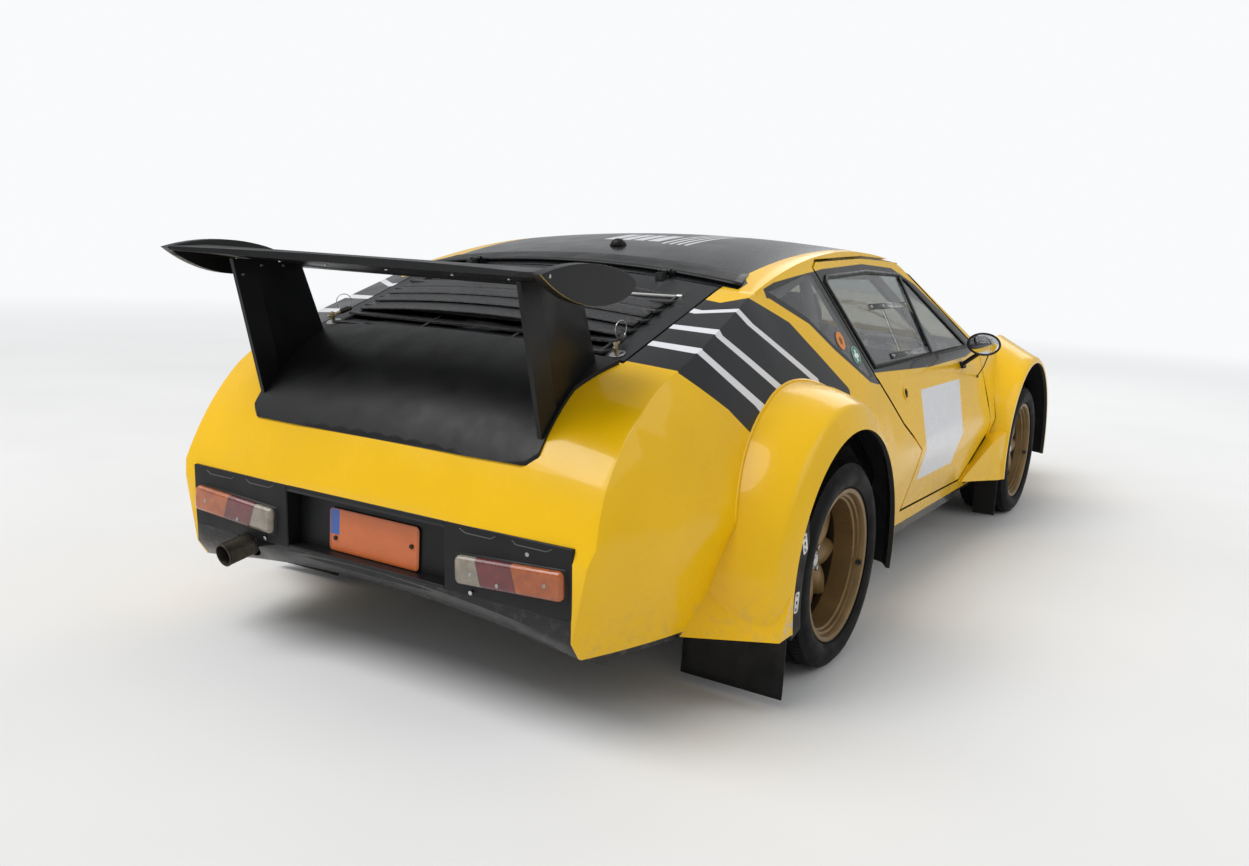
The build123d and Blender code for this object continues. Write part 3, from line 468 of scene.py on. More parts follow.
def bronze(name, colours, tone=1.0):
    make = Finish(name, Metallic=0.55, Specular_IOR_Level=0.5)
    worn = make.ramp(make.noise(16.0, 5.0, 0.6), 0.4, 0.72)
    grime = make.ramp(make.noise(46.0, 6.0, 0.7), 0.56, 0.78)
    coat = make.mix(worn, shade(colours.bronze, 0.86 * tone), shade(colours.bronze, 1.12 * tone))
    make.colour(make.mix(make.math("MULTIPLY", grime, 0.45), coat, (0.07, 0.055, 0.04)))
    make.rough(0.34, 0.5, 30.0)
    make.bump(make.noise(700.0, 3.0), 0.06, 0.0004)
    return make.material


def metal(name, tone, low=0.22, high=0.42, dark=0.6, scale=60.0):
    make = Finish(name, Metallic=1.0)
    patch = make.ramp(make.noise(scale, 5.0, 0.6), 0.4, 0.7)
    make.colour(make.mix(patch, shade(tone, dark), tone))
    make.rough(low, high, scale * 1.5)
    make.bump(make.noise(scale * 8, 3.0), 0.08, 0.0004)
    return make.material


def coated(name, tone, low=0.4, high=0.6, metallic=0.0, grime=0.3):
    """Plain paint or coating on hidden and underbody pieces."""
    make = Finish(name, Metallic=metallic)
    patch = make.ramp(make.noise(7.0, 5.0, 0.6), 0.4, 0.75)
    base = make.mix(patch, tone, shade(tone, 1.35))
    dirt = make.ramp(make.noise(24.0, 6.0, 0.7), 0.5, 0.8, 0.0, grime)
    make.colour(make.mix(dirt, base, (0.11, 0.09, 0.065)))
    make.rough(low, high, 26.0)
    make.bump(make.noise(320.0, 3.0), 0.08, 0.0005)
    return make.material


def clear(name, tint, roughness=0.0, smear=0.04):
    make = Finish(name, roughness, Transmission_Weight=1.0, IOR=1.45)
    film = make.ramp(make.noise(6.0, 4.0, 0.6), 0.45, 0.8)
    make.colour(make.mix(make.math("MULTIPLY", film, 0.3), tint, shade(tint, 0.86)))
    make.feed(make.shader.inputs["Roughness"], make.ramp(make.noise(11.0, 5.0), 0.5, 0.8, roughness, roughness + smear))
    return make.material


def tail_lens(name):
    """Clear-grey, dark red and amber parts with slanted joins and fine upright ribs."""
    make = Finish(name, 0.12, Coat_Weight=0.6, Coat_Roughness=0.05, Subsurface_Weight=0.15)
    slant = make.math("ADD", make.side, make.math("MULTIPLY", make.z, 0.32))
    first = make.above(slant, 0.481)
    second = make.above(slant, 0.579)
    mottle = make.ramp(make.noise(40.0, 4.0), 0.35, 0.7)
    pale = make.mix(mottle, (0.2, 0.17, 0.13), (0.3, 0.26, 0.205))
    red = make.mix(mottle, (0.1, 0.009, 0.011), (0.16, 0.014, 0.016))
    amber = make.mix(mottle, (0.3, 0.062, 0.008), (0.44, 0.105, 0.014))
    colour = make.mix(second, make.mix(first, pale, red), amber)
    joins = make.either(make.between(slant, 0.4795, 0.4825), make.between(slant, 0.5775, 0.5805))
    make.colour(make.mix(make.math("MULTIPLY", joins, 0.7), colour, (0.04, 0.01, 0.01)))
    ribs = make.math("SINE", make.math("MULTIPLY", make.side, 1500.0))
    make.bump(ribs, 0.3, 0.0008)
    make.rough(0.1, 0.22, 30.0)
    return make.material


def plate_face(name, colours):
    """Blank orange plate with a blue band at one end and a thin dark border."""
    make = Finish(name, Coat_Weight=0.3, Coat_Roughness=0.12)
    low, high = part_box("number_plate")
    mottle = make.ramp(make.noise(20.0, 4.0), 0.3, 0.7)
    base = make.mix(mottle, shade(colours.plate, 0.93), shade(colours.plate, 1.05))
    centre, end, half = (low.z + high.z) / 2 - 0.008, 0.146, 0.054
    blue = make.both(make.above(make.x, end - 0.034), make.above(make.z, centre - 0.012))
    base = make.mix(blue, base, (0.03, 0.11, 0.42))
    rim_x = make.above(make.math("ABSOLUTE", make.x), end - 0.0045)
    rim_z = make.above(make.math("ABSOLUTE", make.math("SUBTRACT", make.z, centre)), half - 0.0045)
    line_x = make.between(make.math("ABSOLUTE", make.x), end - 0.0075, end - 0.0045)
    base = make.mix(make.math("MULTIPLY", make.either(rim_x, rim_z, line_x), 0.55), base, shade(colours.plate, 0.5))
    make.colour(base)
    make.rough(0.3, 0.45, 30.0)
    return make.material


def roundel(name, tone, centre, cross=False):
    """A small round sticker, with a ring and for one of them a plain cross."""
    make = Finish(name, 0.35)
    along = make.math("SUBTRACT", make.y, centre[1])
    up = make.math("SUBTRACT", make.z, centre[2])
    reach = make.math("SQRT", make.math("ADD", make.math("POWER", along, 2.0), make.math("POWER", up, 2.0)))
    ring = make.between(reach, 0.0255, 0.0275)
    if cross:
        bar = make.both(make.above(0.0055, make.math("ABSOLUTE", along)), make.above(0.017, make.math("ABSOLUTE", up)))
        post = make.both(make.above(0.0055, make.math("ABSOLUTE", up)), make.above(0.017, make.math("ABSOLUTE", along)))
        face = make.mix(make.either(bar, post), tone, (0.8, 0.8, 0.8))
        make.colour(make.mix(ring, face, (0.7, 0.75, 0.72)))
    else:
        disc = make.above(0.011, reach)
        face = make.mix(disc, tone, shade(tone, 0.25))
        make.colour(make.mix(ring, face, shade(tone, 0.3)))
    make.rough(0.3, 0.45, 60.0)
    return make.material


def cloth(name):
    """Dark woven cloth: two crossing sets of threads with a little colour change."""
    make = Finish(name, 0.85, Sheen_Weight=0.25)
    warp = make.math("SINE", make.math("MULTIPLY", make.x, 2600.0))
    weft = make.math("SINE", make.math("MULTIPLY", make.math("ADD", make.y, make.z), 2600.0))
    weave = make.math("MULTIPLY", warp, weft)
    tone = make.ramp(make.noise(12.0, 5.0), 0.35, 0.7)
    base = make.mix(tone, (0.012, 0.013, 0.017), (0.03, 0.032, 0.04))
    make.colour(make.mix(make.ramp(weave, -1.0, 1.0, 0.0, 0.3), base, (0.06, 0.062, 0.07)))
    make.bump(weave, 0.35, 0.0006)
    return make.material


def mirror_face(name):
    make = Finish(name, 0.03, Metallic=1.0)
    make.colour(make.mix(make.ramp(make.noise(8.0), 0.3, 0.7), (0.78, 0.8, 0.82), (0.85, 0.87, 0.9)))
    return make.material


def exhaust_steel(name):
    make = Finish(name, Metallic=0.9)
    tail = make.ramp(make.y, rear(0.82), rear(0.92))
    patch = make.ramp(make.noise(24.0, 6.0, 0.65), 0.4, 0.7)
    base = make.mix(patch, (0.07, 0.062, 0.052), (0.16, 0.135, 0.1))
    make.colour(make.mix(make.math("MULTIPLY", tail, 0.6), base, (0.03, 0.026, 0.022)))
    make.rough(0.35, 0.6, 40.0)
    make.bump(make.noise(200.0, 4.0), 0.1, 0.0006)
    return make.material


def make_finishes(colours):
    paint("body_paint", colours)
    paint("quarter_paint", colours, (quarter_band, quarter_whites, quarter_frame, tail_black_and_shade))
    paint("roof_paint", colours, (roof_black, roof_stripes, roof_block, quarter_frame))
    paint("door_paint", colours, (number_panel, door_frame))
    paint("arch_paint", colours, (chips,), shade_and_underbody=False)
    satin("satin_black", colours)
    satin("wing_black", colours, 0.3, 0.42, 0.9)
    satin("panel_black", colours, 0.4, 0.55, 0.9, 0.08)
    crinkled("crinkle_black", colours)
    satin("worn_edge", colours, 0.3, 0.42, 0.9, edge=0.5725)
    coated("grey_line", (0.07, 0.07, 0.07))
    rubber("seal_rubber", 0.005, 0.35, 0.5, 0.06)
    rubber("flap_rubber", 0.006, 0.5, 0.7, 0.22)
    # Painted shade: wheel_shade is the bronze darkened to 0.22 for the shade inside the deep dish.
    bronze("wheel_shade", colours, 0.22)
    tyre_rubber("tyre_rubber")
    bronze("wheel_bronze", colours)
    metal("bright_steel", (0.66, 0.66, 0.65), 0.18, 0.35)
    metal("slotted_aluminium", (0.75, 0.75, 0.74), 0.25, 0.45, 0.75)
    metal("brass_steel", (0.45, 0.36, 0.22), 0.25, 0.5)
    metal("brake_iron", (0.22, 0.215, 0.21), 0.3, 0.5, 0.6)
    metal("cast_metal", (0.32, 0.32, 0.33), 0.4, 0.6)
    coated("chassis_steel", (0.03, 0.03, 0.032), 0.45, 0.65, 0.3, 0.5)
    coated("tub_paint", (0.018, 0.018, 0.019), 0.5, 0.7, 0.0, 0.35)
    coated("cage_paint", (0.42, 0.42, 0.41), 0.3, 0.45, 0.0, 0.08)
    coated("dash_vinyl", (0.014, 0.014, 0.015), 0.55, 0.7, 0.0, 0.08)
    coated("seat_shell", (0.012, 0.012, 0.014), 0.3, 0.45, 0.0, 0.08)
    # dark_bore is near-black: painted shade in the pipe outlet, the keyhole slot and under the louvres, and the real
    # black of the dial faces.
    coated("dark_bore", (0.004, 0.004, 0.004), 0.7, 0.85, 0.0, 0.2)
    coated("lock_black", (0.02, 0.018, 0.014), 0.35, 0.5, 0.5, 0.1)
    exhaust_steel("exhaust_steel")
    clear("screen_glass", (0.6, 0.65, 0.63))
    # Painted shade: the side perspex is given a dark grey tint so that the cabin behind it reads dim.
    clear("side_perspex", (0.52, 0.54, 0.55), 0.02, 0.08)
    clear("hatch_perspex", (0.9, 0.91, 0.9), 0.16, 0.2)
    clear("lamp_clear", (0.95, 0.96, 0.96), 0.01, 0.05)
    tail_lens("tail_lens")
    plate_face("plate_face", colours)
    mirror_face("mirror_face")
    mirror_face("lamp_reflector")
    cloth("seat_cloth")


def finish(name):
    return FINISHES[name]


# Mesh helpers


def whole_mesh(node):
    """A merged copy of a CAD node as a bmesh."""
    mesh = bmesh.new()
    mesh.from_mesh(frame["nodes"][node].data)
    bmesh.ops.remove_doubles(mesh, verts=mesh.verts, dist=0.00002)
    return mesh


def surface(*nodes):
    """A tree to drop trim onto the outside of some CAD nodes."""
    joined = bmesh.new()
    for node in nodes:
        joined.from_mesh(frame["nodes"][node].data)
    tree = BVHTree.FromBMesh(joined)
    joined.free()
    return tree


def dropped(tree, start, direction, lift=0.0):
    """Where a ray from start meets the surface, raised by lift off it."""
    direction = Vector(direction).normalized()
    hit, normal, _, _ = tree.ray_cast(Vector(start), direction)
    if hit is None:
        raise RuntimeError(f"nothing lies under {tuple(start)}")
    if normal.dot(direction) > 0:
        normal = -normal
    return hit + normal * lift


def new_object(name, mesh, finishes, body, replaces=(), angle=32.0, bevel=0.0, subdivide=0, turn=True):
    """Links a finished mesh as a piece that rides on a body."""
    if turn:
        bmesh.ops.recalc_face_normals(mesh, faces=mesh.faces)
    data = bpy.data.meshes.new(name)
    mesh.to_mesh(data)
    mesh.free()
    for label in finishes:
        data.materials.append(finish(label))
    data.polygons.foreach_set("use_smooth", [True] * len(data.polygons))
    data.set_sharp_from_angle(angle=radians(angle))
    piece = bpy.data.objects.new(name, data)
    bpy.context.scene.collection.objects.link(piece)
    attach(piece, body)
    if replaces:
        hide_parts(*replaces)
    if bevel:
        edges = piece.modifiers.new("Edges", "BEVEL")
        edges.width = bevel
        edges.segments = 2
        edges.limit_method = "ANGLE"
        edges.angle_limit = radians(38)
    if subdivide:
        smooth = piece.modifiers.new("Smooth", "SUBSURF")
        smooth.levels = smooth.render_levels = subdivide
    return piece


def faces_of(made):
    return {face for vert in made["verts"] for face in vert.link_faces}


def tint(made, index):
    for face in faces_of(made):
        face.material_index = index


def axis_turn(direction):
    return Vector((0, 0, 1)).rotation_difference(Vector(direction).normalized()).to_matrix().to_4x4()


def add_rod(mesh, start, end, radius, sides=16, index=0, end_radius=None, bevel=0.0):
    """A round bar or cone between two points."""
    start, end = Vector(start), Vector(end)
    place = Matrix.Translation((start + end) / 2) @ axis_turn(end - start)
    made = bmesh.ops.create_cone(
        mesh, cap_ends=True, segments=sides, radius1=radius, radius2=radius if end_radius is None else end_radius,
        depth=(end - start).length, matrix=place)
    tint(made, index)
    if bevel:
        rims = [e for e in {e for v in made["verts"] for e in v.link_edges} if len(e.link_faces) == 2
                and e.calc_face_angle(0) > radians(50)]
        bmesh.ops.bevel(mesh, geom=rims, offset=bevel, segments=2, profile=0.5, affect="EDGES", material=-1)
    return made


def add_box(mesh, centre, size, turn=None, bevel=0.0, index=0):
    place = Matrix.Translation(Vector(centre)) @ (turn.to_4x4() if turn else Matrix.Identity(4))
    made = bmesh.ops.create_cube(mesh, size=1.0, matrix=place @ Matrix.Diagonal((*size, 1.0)))
    tint(made, index)
    if bevel:
        edges = list({e for v in made["verts"] for e in v.link_edges})
        bmesh.ops.bevel(mesh, geom=edges, offset=bevel, segments=2, profile=0.5, affect="EDGES", material=-1)
    return made


def add_ball(mesh, centre, size, index=0, turn=None, sides=(20, 12)):
    place = Matrix.Translation(Vector(centre)) @ (turn.to_4x4() if turn else Matrix.Identity(4))
    made = bmesh.ops.create_uvsphere(
        mesh, u_segments=sides[0], v_segments=sides[1], radius=1.0, matrix=place @ Matrix.Diagonal((*size, 1.0)))
    tint(made, index)
    return made


def add_line(mesh, points, radius, cyclic=False, index=0, smooth=False, sides=3):
    """A round bead along points, made from a curve."""
    curve = bpy.data.curves.new("bead", "CURVE")
    curve.dimensions = "3D"
    curve.bevel_depth = radius
    curve.bevel_resolution = sides
    curve.use_fill_caps = not cyclic
    spline = curve.splines.new("NURBS" if smooth else "POLY")
    spline.points.add(len(points) - 1)
    for point, place in zip(spline.points, points):
        point.co = (*place, 1.0)
    spline.use_cyclic_u = cyclic
    if smooth:
        spline.order_u = 3
        spline.use_endpoint_u = not cyclic
    holder = bpy.data.objects.new("bead", curve)
    data = bpy.data.meshes.new_from_object(holder)
    data.polygons.foreach_set("material_index", [index] * len(data.polygons))
    before = len(mesh.verts)
    mesh.from_mesh(data)
    mesh.verts.ensure_lookup_table()
    bmesh.ops.remove_doubles(mesh, verts=mesh.verts[before:], dist=0.000005)
    bpy.data.objects.remove(holder)
    bpy.data.curves.remove(curve)
    bpy.data.meshes.remove(data)


def ring(centre, radius, axis, count=28, start=0.0, end=tau):
    """Points round a circle whose axis is given."""
    turn = axis_turn(axis)
    steps = count if end - start >= tau else count - 1
    angles = [start + (end - start) * step / steps for step in range(count)]
    return [Vector(centre) + turn @ Vector((cos(a) * radius, sin(a) * radius, 0)) for a in angles]


def spun(profile, centre, steps=72):
    """A closed profile of (across, radius) points turned about the wheel's axle through centre."""
    mesh = bmesh.new()
    verts = [mesh.verts.new((centre.x + x, centre.y, centre.z + r)) for x, r in profile]
    edges = [mesh.edges.new(pair) for pair in zip(verts, verts[1:] + verts[:1])]
    bmesh.ops.spin(
        mesh, geom=verts + edges, cent=centre, axis=(1, 0, 0), dvec=(0, 0, 0), angle=tau, steps=steps,
        use_merge=True, use_duplicate=False)
    bmesh.ops.remove_doubles(mesh, verts=mesh.verts, dist=0.00001)
    return mesh


def extruded(points, direction, index=0, mesh=None):
    """A prism: a flat outline, pushed along a direction."""
    mesh = mesh or bmesh.new()
    face = mesh.faces.new([mesh.verts.new(point) for point in points])
    face.material_index = index
    made = bmesh.ops.extrude_face_region(mesh, geom=[face])
    verts = [item for item in made["geom"] if isinstance(item, bmesh.types.BMVert)]
    bmesh.ops.translate(mesh, verts=verts, vec=direction)
    for item in {f for v in verts for f in v.link_faces}:
        item.material_index = index
    bmesh.ops.recalc_face_normals(mesh, faces=mesh.faces)
    return mesh


def cut(mesh, point, normal):
    """Takes off what lies on the far side of a plane and closes the section."""
    made = bmesh.ops.bisect_plane(
        mesh, geom=[*mesh.verts, *mesh.edges, *mesh.faces], dist=0.00001, plane_co=point, plane_no=normal,
        clear_outer=True)
    edges = [item for item in made["geom_cut"] if isinstance(item, bmesh.types.BMEdge)]
    bmesh.ops.holes_fill(mesh, edges=edges, sides=0)


def joined(target, source, index=None):
    """Adds one bmesh to another."""
    data = bpy.data.meshes.new("part")
    source.to_mesh(data)
    source.free()
    if index is not None:
        data.polygons.foreach_set("material_index", [index] * len(data.polygons))
    target.from_mesh(data)
    bpy.data.meshes.remove(data)


def body_of(node):
    return frame["nodes"][node]["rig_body"]


def shell(node, label, bevel=0.0, name=None, angle=30.0):
    """A smooth, merged copy of a CAD panel that stands for it."""
    return new_object(
        name or f"{node}_panel", whole_mesh(node), [label], body_of(node), [node], angle, bevel, turn=False)


def coat_node(node, label):
    """A CAD node whose shape stays gets its finish."""
    piece = frame["nodes"][node]
    if not piece.material_slots:
        piece.data.materials.append(finish(label))
    for entry in piece.material_slots:
        entry.material = finish(label)


class CarOperator:
    """What the car's operators share."""

    bl_options = {"REGISTER", "UNDO"}

    @staticmethod
    def sizes():
        return bpy.context.scene.rally_sizes

    @staticmethod
    def colours():
        return bpy.context.scene.rally_paint


class RALLY_OT_finishes(CarOperator, bpy.types.Operator):
    """Make every paint, rubber, metal and glass finish."""

    bl_idname = "rally.finishes"
    bl_label = "Finishes"

    def execute(self, context):
        make_finishes(self.colours())
        return {"FINISHED"}


# Stage


CAMERA_AT = Vector((-1.832, REAR_AXLE + 2.716, 1.093))
CAMERA_YAW = radians(31.22)
CAMERA_PITCH = radians(9.87)
CAMERA_ROLL = radians(3.01)
PHOTO_WIDTH = 1249
PHOTO_FOCUS = 1102.1         # focal length in the photograph's pixels
SENSOR = 36.0


def place_camera():
    camera = bpy.data.cameras.new("camera")
    camera.sensor_fit = "HORIZONTAL"
    camera.sensor_width = SENSOR
    camera.lens = PHOTO_FOCUS / PHOTO_WIDTH * SENSOR
    camera.clip_end = 200.0
    holder = bpy.data.objects.new("camera", camera)
    bpy.context.scene.collection.objects.link(holder)
    ahead = Vector((
        cos(CAMERA_PITCH) * sin(CAMERA_YAW), -cos(CAMERA_PITCH) * cos(CAMERA_YAW), -sin(CAMERA_PITCH)))
    right = ahead.cross(Vector((0, 0, 1))).normalized()
    up = right.cross(ahead)
    turned_right = right * cos(CAMERA_ROLL) + up * sin(CAMERA_ROLL)
    turned_up = up * cos(CAMERA_ROLL) - right * sin(CAMERA_ROLL)
    axes = Matrix((turned_right, turned_up, -ahead)).transposed()
    holder.matrix_world = Matrix.Translation(CAMERA_AT) @ axes.to_4x4()
    bpy.context.scene.camera = holder


# Area lamps: place, size, power in watts
LAMPS = (
    (Vector((4.0, 5.0, 6.5)), 4.5, 190.0),
    (Vector((-6.0, -0.5, 4.5)), 4.5, 70.0),
    (Vector((0.5, -7.0, 5.0)), 4.5, 110.0),
)
SUN_TURN = (radians(-24), radians(18), 0.0)


def light_stage(size):
    scene = bpy.context.scene
    scene.view_settings.view_transform = "Standard"
    floor = bmesh.new()
    bmesh.ops.create_grid(floor, x_segments=1, y_segments=1, size=size / 2)
    data = bpy.data.meshes.new("floor")
    floor.to_mesh(data)
    floor.free()
    ground = bpy.data.objects.new("floor", data)
    scene.collection.objects.link(ground)
    make = Finish("floor_paint", 0.9)
    tone = make.ramp(make.noise(0.7, 3.0), 0.3, 0.7)
    make.colour(make.mix(tone, (0.74, 0.74, 0.735), (0.78, 0.78, 0.775)))
    reach = make.node("ShaderNodeVectorMath", make.place, operation="LENGTH").outputs["Value"]
    shown = make.node("ShaderNodeLightPath").outputs
    far = make.math("MULTIPLY", make.ramp(reach, 4.5, 13.0), shown["Is Camera Ray"])
    glow = make.node("ShaderNodeEmission", (0.97, 0.985, 1.0, 1.0), 0.97).outputs[0]
    blend = make.node("ShaderNodeMixShader", far, make.shader.outputs[0], glow).outputs[0]
    make.feed(make.tree.nodes["Material Output"].inputs["Surface"], blend)
    data.materials.append(make.material)
    for number, (place, side, power) in enumerate(LAMPS):
        lamp = bpy.data.lights.new(f"soft_lamp_{number}", "AREA")
        lamp.size = side
        lamp.energy = power
        holder = bpy.data.objects.new(lamp.name, lamp)
        holder.matrix_world = Matrix.Translation(place) @ axis_turn(place - Vector((0, 0.3, 0.5)))
        scene.collection.objects.link(holder)
    sun = bpy.data.lights.new("soft_sun", "SUN")
    sun.energy = 1.35
    sun.angle = radians(40)
    holder = bpy.data.objects.new("soft_sun", sun)
    holder.rotation_euler = SUN_TURN
    scene.collection.objects.link(holder)
    world = bpy.data.worlds.new("studio")
    world.use_nodes = True
    scene.world = world
    tree = world.node_tree
    paths = tree.nodes.new("ShaderNodeLightPath").outputs
    shows = tree.nodes.new("ShaderNodeMath")
    shows.operation = "MAXIMUM"
    tree.links.new(paths["Is Camera Ray"], shows.inputs[0])
    tree.links.new(paths["Is Transmission Ray"], shows.inputs[1])
    strength = tree.nodes.new("ShaderNodeMapRange")
    tree.links.new(shows.outputs[0], strength.inputs["Value"])
    strength.inputs["To Min"].default_value = 0.5
    strength.inputs["To Max"].default_value = 0.97
    backdrop = tree.nodes["Background"]
    backdrop.inputs["Color"].default_value = (0.97, 0.985, 1.0, 1.0)
    tree.links.new(strength.outputs["Result"], backdrop.inputs["Strength"])


class RALLY_OT_stage(CarOperator, bpy.types.Operator):
    """Lay the pale floor, hang the soft lamps and set the camera."""

    bl_idname = "rally.stage"
    bl_label = "Stage"

    def execute(self, context):
        light_stage(self.sizes().floor)
        place_camera()
        return {"FINISHED"}


# Body panels


class RALLY_OT_panels(CarOperator, bpy.types.Operator):
    """Dress the painted body panels, doors and lids."""

    bl_idname = "rally.panels"
    bl_label = "Body panels"

    def execute(self, context):
        edge = self.sizes().edge
        painted = (
            ("front_body", "body_paint"), ("front_lid", "body_paint"), ("rear_body", "quarter_paint"),
            ("roof", "roof_paint"), ("door_left", "door_paint"), ("door_right", "door_paint"),
        )
        for node, label in painted:
            shell(node, label, edge)
        return {"FINISHED"}


class RALLY_OT_roof_trim(CarOperator, bpy.types.Operator):
    """Lay the black lip across the roof's rear edge and the small domed cover."""

    bl_idname = "rally.roof_trim"
    bl_label = "Roof trim"

    def execute(self, context):
        tree = surface("roof", "rear_body")
        lip = bmesh.new()
        columns, rows = 40, 4
        half, ahead = 0.548, 0.115
        bmesh.ops.create_grid(lip, x_segments=columns, y_segments=rows, size=1.0)
        for vert in lip.verts:
            across, along = vert.co.x, (vert.co.y + 1) / 2
            x = across * (half - 0.03 * (1 - along))
            end = rear(0.030 + 0.018 * abs(across) ** 2)
            y = end - ahead * (1 - along)
            raised = 0.002 + 0.0075 * along ** 2
            vert.co = dropped(tree, (x, y, 1.4), (0, 0, -1), raised)
        piece = new_object("roof_lip", lip, ["satin_black"], "root", bevel=0.002)
        wall = piece.modifiers.new("Wall", "SOLIDIFY")
        wall.thickness = 0.006
        wall.offset = -1.0
        dome = bmesh.new()
        foot = dropped(tree, (0.008, rear(-0.225), 1.4), (0, 0, -1))
        add_rod(dome, foot - Vector((0, 0, 0.004)), foot + Vector((0, 0, 0.004)), 0.027, 32, bevel=0.002)
        add_ball(dome, foot + Vector((0, 0, 0.004)), (0.024, 0.024, 0.016), sides=(32, 16))
        new_object("roof_dome", dome, ["seal_rubber"], "root")
        return {"FINISHED"}


# Engine lid


def add_pin(mesh, foot, normal, out):
    """A hood pin: washer, post, spring clip through it and a wire ring on the clip. Materials: steel, brass, black."""
    normal = Vector(normal).normalized()
    side = Vector(out).normalized()
    side = (side - normal * side.dot(normal)).normalized()
    across = normal.cross(side)
    add_rod(mesh, foot, foot + normal * 0.003, 0.021, 28, 0, bevel=0.0008)
    add_rod(mesh, foot, foot + normal * 0.03, 0.0055, 16, 1, bevel=0.001)
    eye = foot + normal * 0.021
    add_line(mesh, ring(eye, 0.008, across), 0.0018, True, 1)
    add_rod(mesh, eye - side * 0.016, eye + side * 0.045, 0.0038, 12, 1, bevel=0.0008)
    add_rod(mesh, eye + side * 0.028, eye + side * 0.062, 0.0075, 14, 2, bevel=0.002)
    top = eye + side * 0.046 + normal * 0.024
    add_line(mesh, ring(top, 0.021, across + side * 0.35, 36), 0.0011, True, 0)


class RALLY_OT_engine_lid(CarOperator, bpy.types.Operator):
    """Dress the louvred lid: frame and slats, the smooth middle section, prop rod and hood pins."""

    bl_idname = "rally.engine_lid"
    bl_label = "Engine lid"

    def execute(self, context):
        shell("engine_lid", "crinkle_black", 0.0015)
        tree = surface("engine_lid")
        plate = bmesh.new()
        bmesh.ops.create_grid(plate, x_segments=24, y_segments=6, size=1.0)
        first, last, half = rear(0.435), rear(0.541), 0.325
        high = dropped(tree, (0, rear(0.50), 1.4), (0, 0, -1))
        low = dropped(tree, (0, rear(0.535), 1.4), (0, 0, -1))
        slope = (low.z - high.z) / (low.y - high.y)
        for vert in plate.verts:
            x, y = vert.co.x * half, first + (vert.co.y + 1) / 2 * (last - first)
            crown = dropped(tree, (x, rear(0.52), 1.4), (0, 0, -1)).z - dropped(tree, (0, rear(0.52), 1.4), (0, 0, -1)).z
            vert.co = Vector((x * (0.9 + 0.1 * (vert.co.y + 1) / 2), y, high.z + slope * (y - high.y) + crown + 0.004))
        panel = new_object("engine_lid_middle", plate, ["satin_black"], "engine_lid", bevel=0.0015)
        wall = panel.modifiers.new("Wall", "SOLIDIFY")
        wall.thickness = 0.003
        wall.offset = -1.0
        self.blades(tree)
        self.shade_sheet()
        rod = bmesh.new()
        add_rod(rod, (-0.440, rear(0.168), 0.957), (-0.06, rear(0.212), 0.953), 0.0042, 14, 0, bevel=0.001)
        add_rod(rod, (-0.444, rear(0.168), 0.957), (-0.428, rear(0.17), 0.957), 0.0068, 14, 1, bevel=0.001)
        new_object("lid_prop_rod", rod, ["cage_paint", "bright_steel"], "engine_lid")
        for hand, side in SIDES:
            pin = bmesh.new()
            foot = dropped(tree, (side * 0.466, rear(0.516), 1.4), (0, 0, -1))
            add_pin(pin, foot - Vector((0, 0, 0.001)), (0, 0.35, 1), (-side * 0.2, -1, 0))
            new_object(
                f"engine_lid_pin_{hand}", pin, ["bright_steel", "brass_steel", "lock_black"], "engine_lid",
                angle=40)
        return {"FINISHED"}

    def blades(self, tree):
        """Four broad crowned louvre blades over the lid's slats, each with its rear edge over the next one."""
        front_z = dropped(tree, (0, rear(0.12), 1.4), (0, 0, -1)).z
        back_z = dropped(tree, (0, rear(0.5415), 1.4), (0, 0, -1)).z
        edge_z = dropped(tree, (0.43, rear(0.12), 1.4), (0, 0, -1)).z - front_z
        mesh = bmesh.new()
        for number in range(1, 5):
            first = 0.172 + 0.0565 * number
            made = bmesh.ops.create_grid(mesh, x_segments=28, y_segments=3, size=1.0)
            for vert in made["verts"]:
                across, along = vert.co.x, (vert.co.y + 1) / 2
                y = first + 0.052 * along
                ridge = front_z + (back_z - front_z) * (first + 0.026 - 0.12) / 0.4215 + 0.012 * sin(pi * (first - 0.12) / 0.42)
                vert.co = Vector((across * 0.431, rear(y), ridge + edge_z * across ** 2 - 0.016 * (along - 0.45)))
        piece = new_object("lid_blades", mesh, ["crinkle_black"], "engine_lid", bevel=0.001)
        wall = piece.modifiers.new("Wall", "SOLIDIFY")
        wall.thickness = 0.005
        wall.offset = -1.0

    def shade_sheet(self):
        """A near-black sheet under the louvres: painted shade for the dark gaps between the blades."""
        mesh = bmesh.new()
        bmesh.ops.create_grid(mesh, x_segments=12, y_segments=8, size=1.0)
        for vert in mesh.verts:
            across, along = vert.co.x, (vert.co.y + 1) / 2
            vert.co = Vector((across * 0.425, rear(0.13 + 0.38 * along), 0.905 - 0.105 * along - 0.03 * across ** 2))
        piece = new_object("louvre_shade_sheet", mesh, ["dark_bore"], "engine_lid")
        wall = piece.modifiers.new("Wall", "SOLIDIFY")
        wall.thickness = 0.003


# Tail


TAIL_HALF = 0.606
LAMP_TILT = 3.5              # degrees, the outer ends are higher


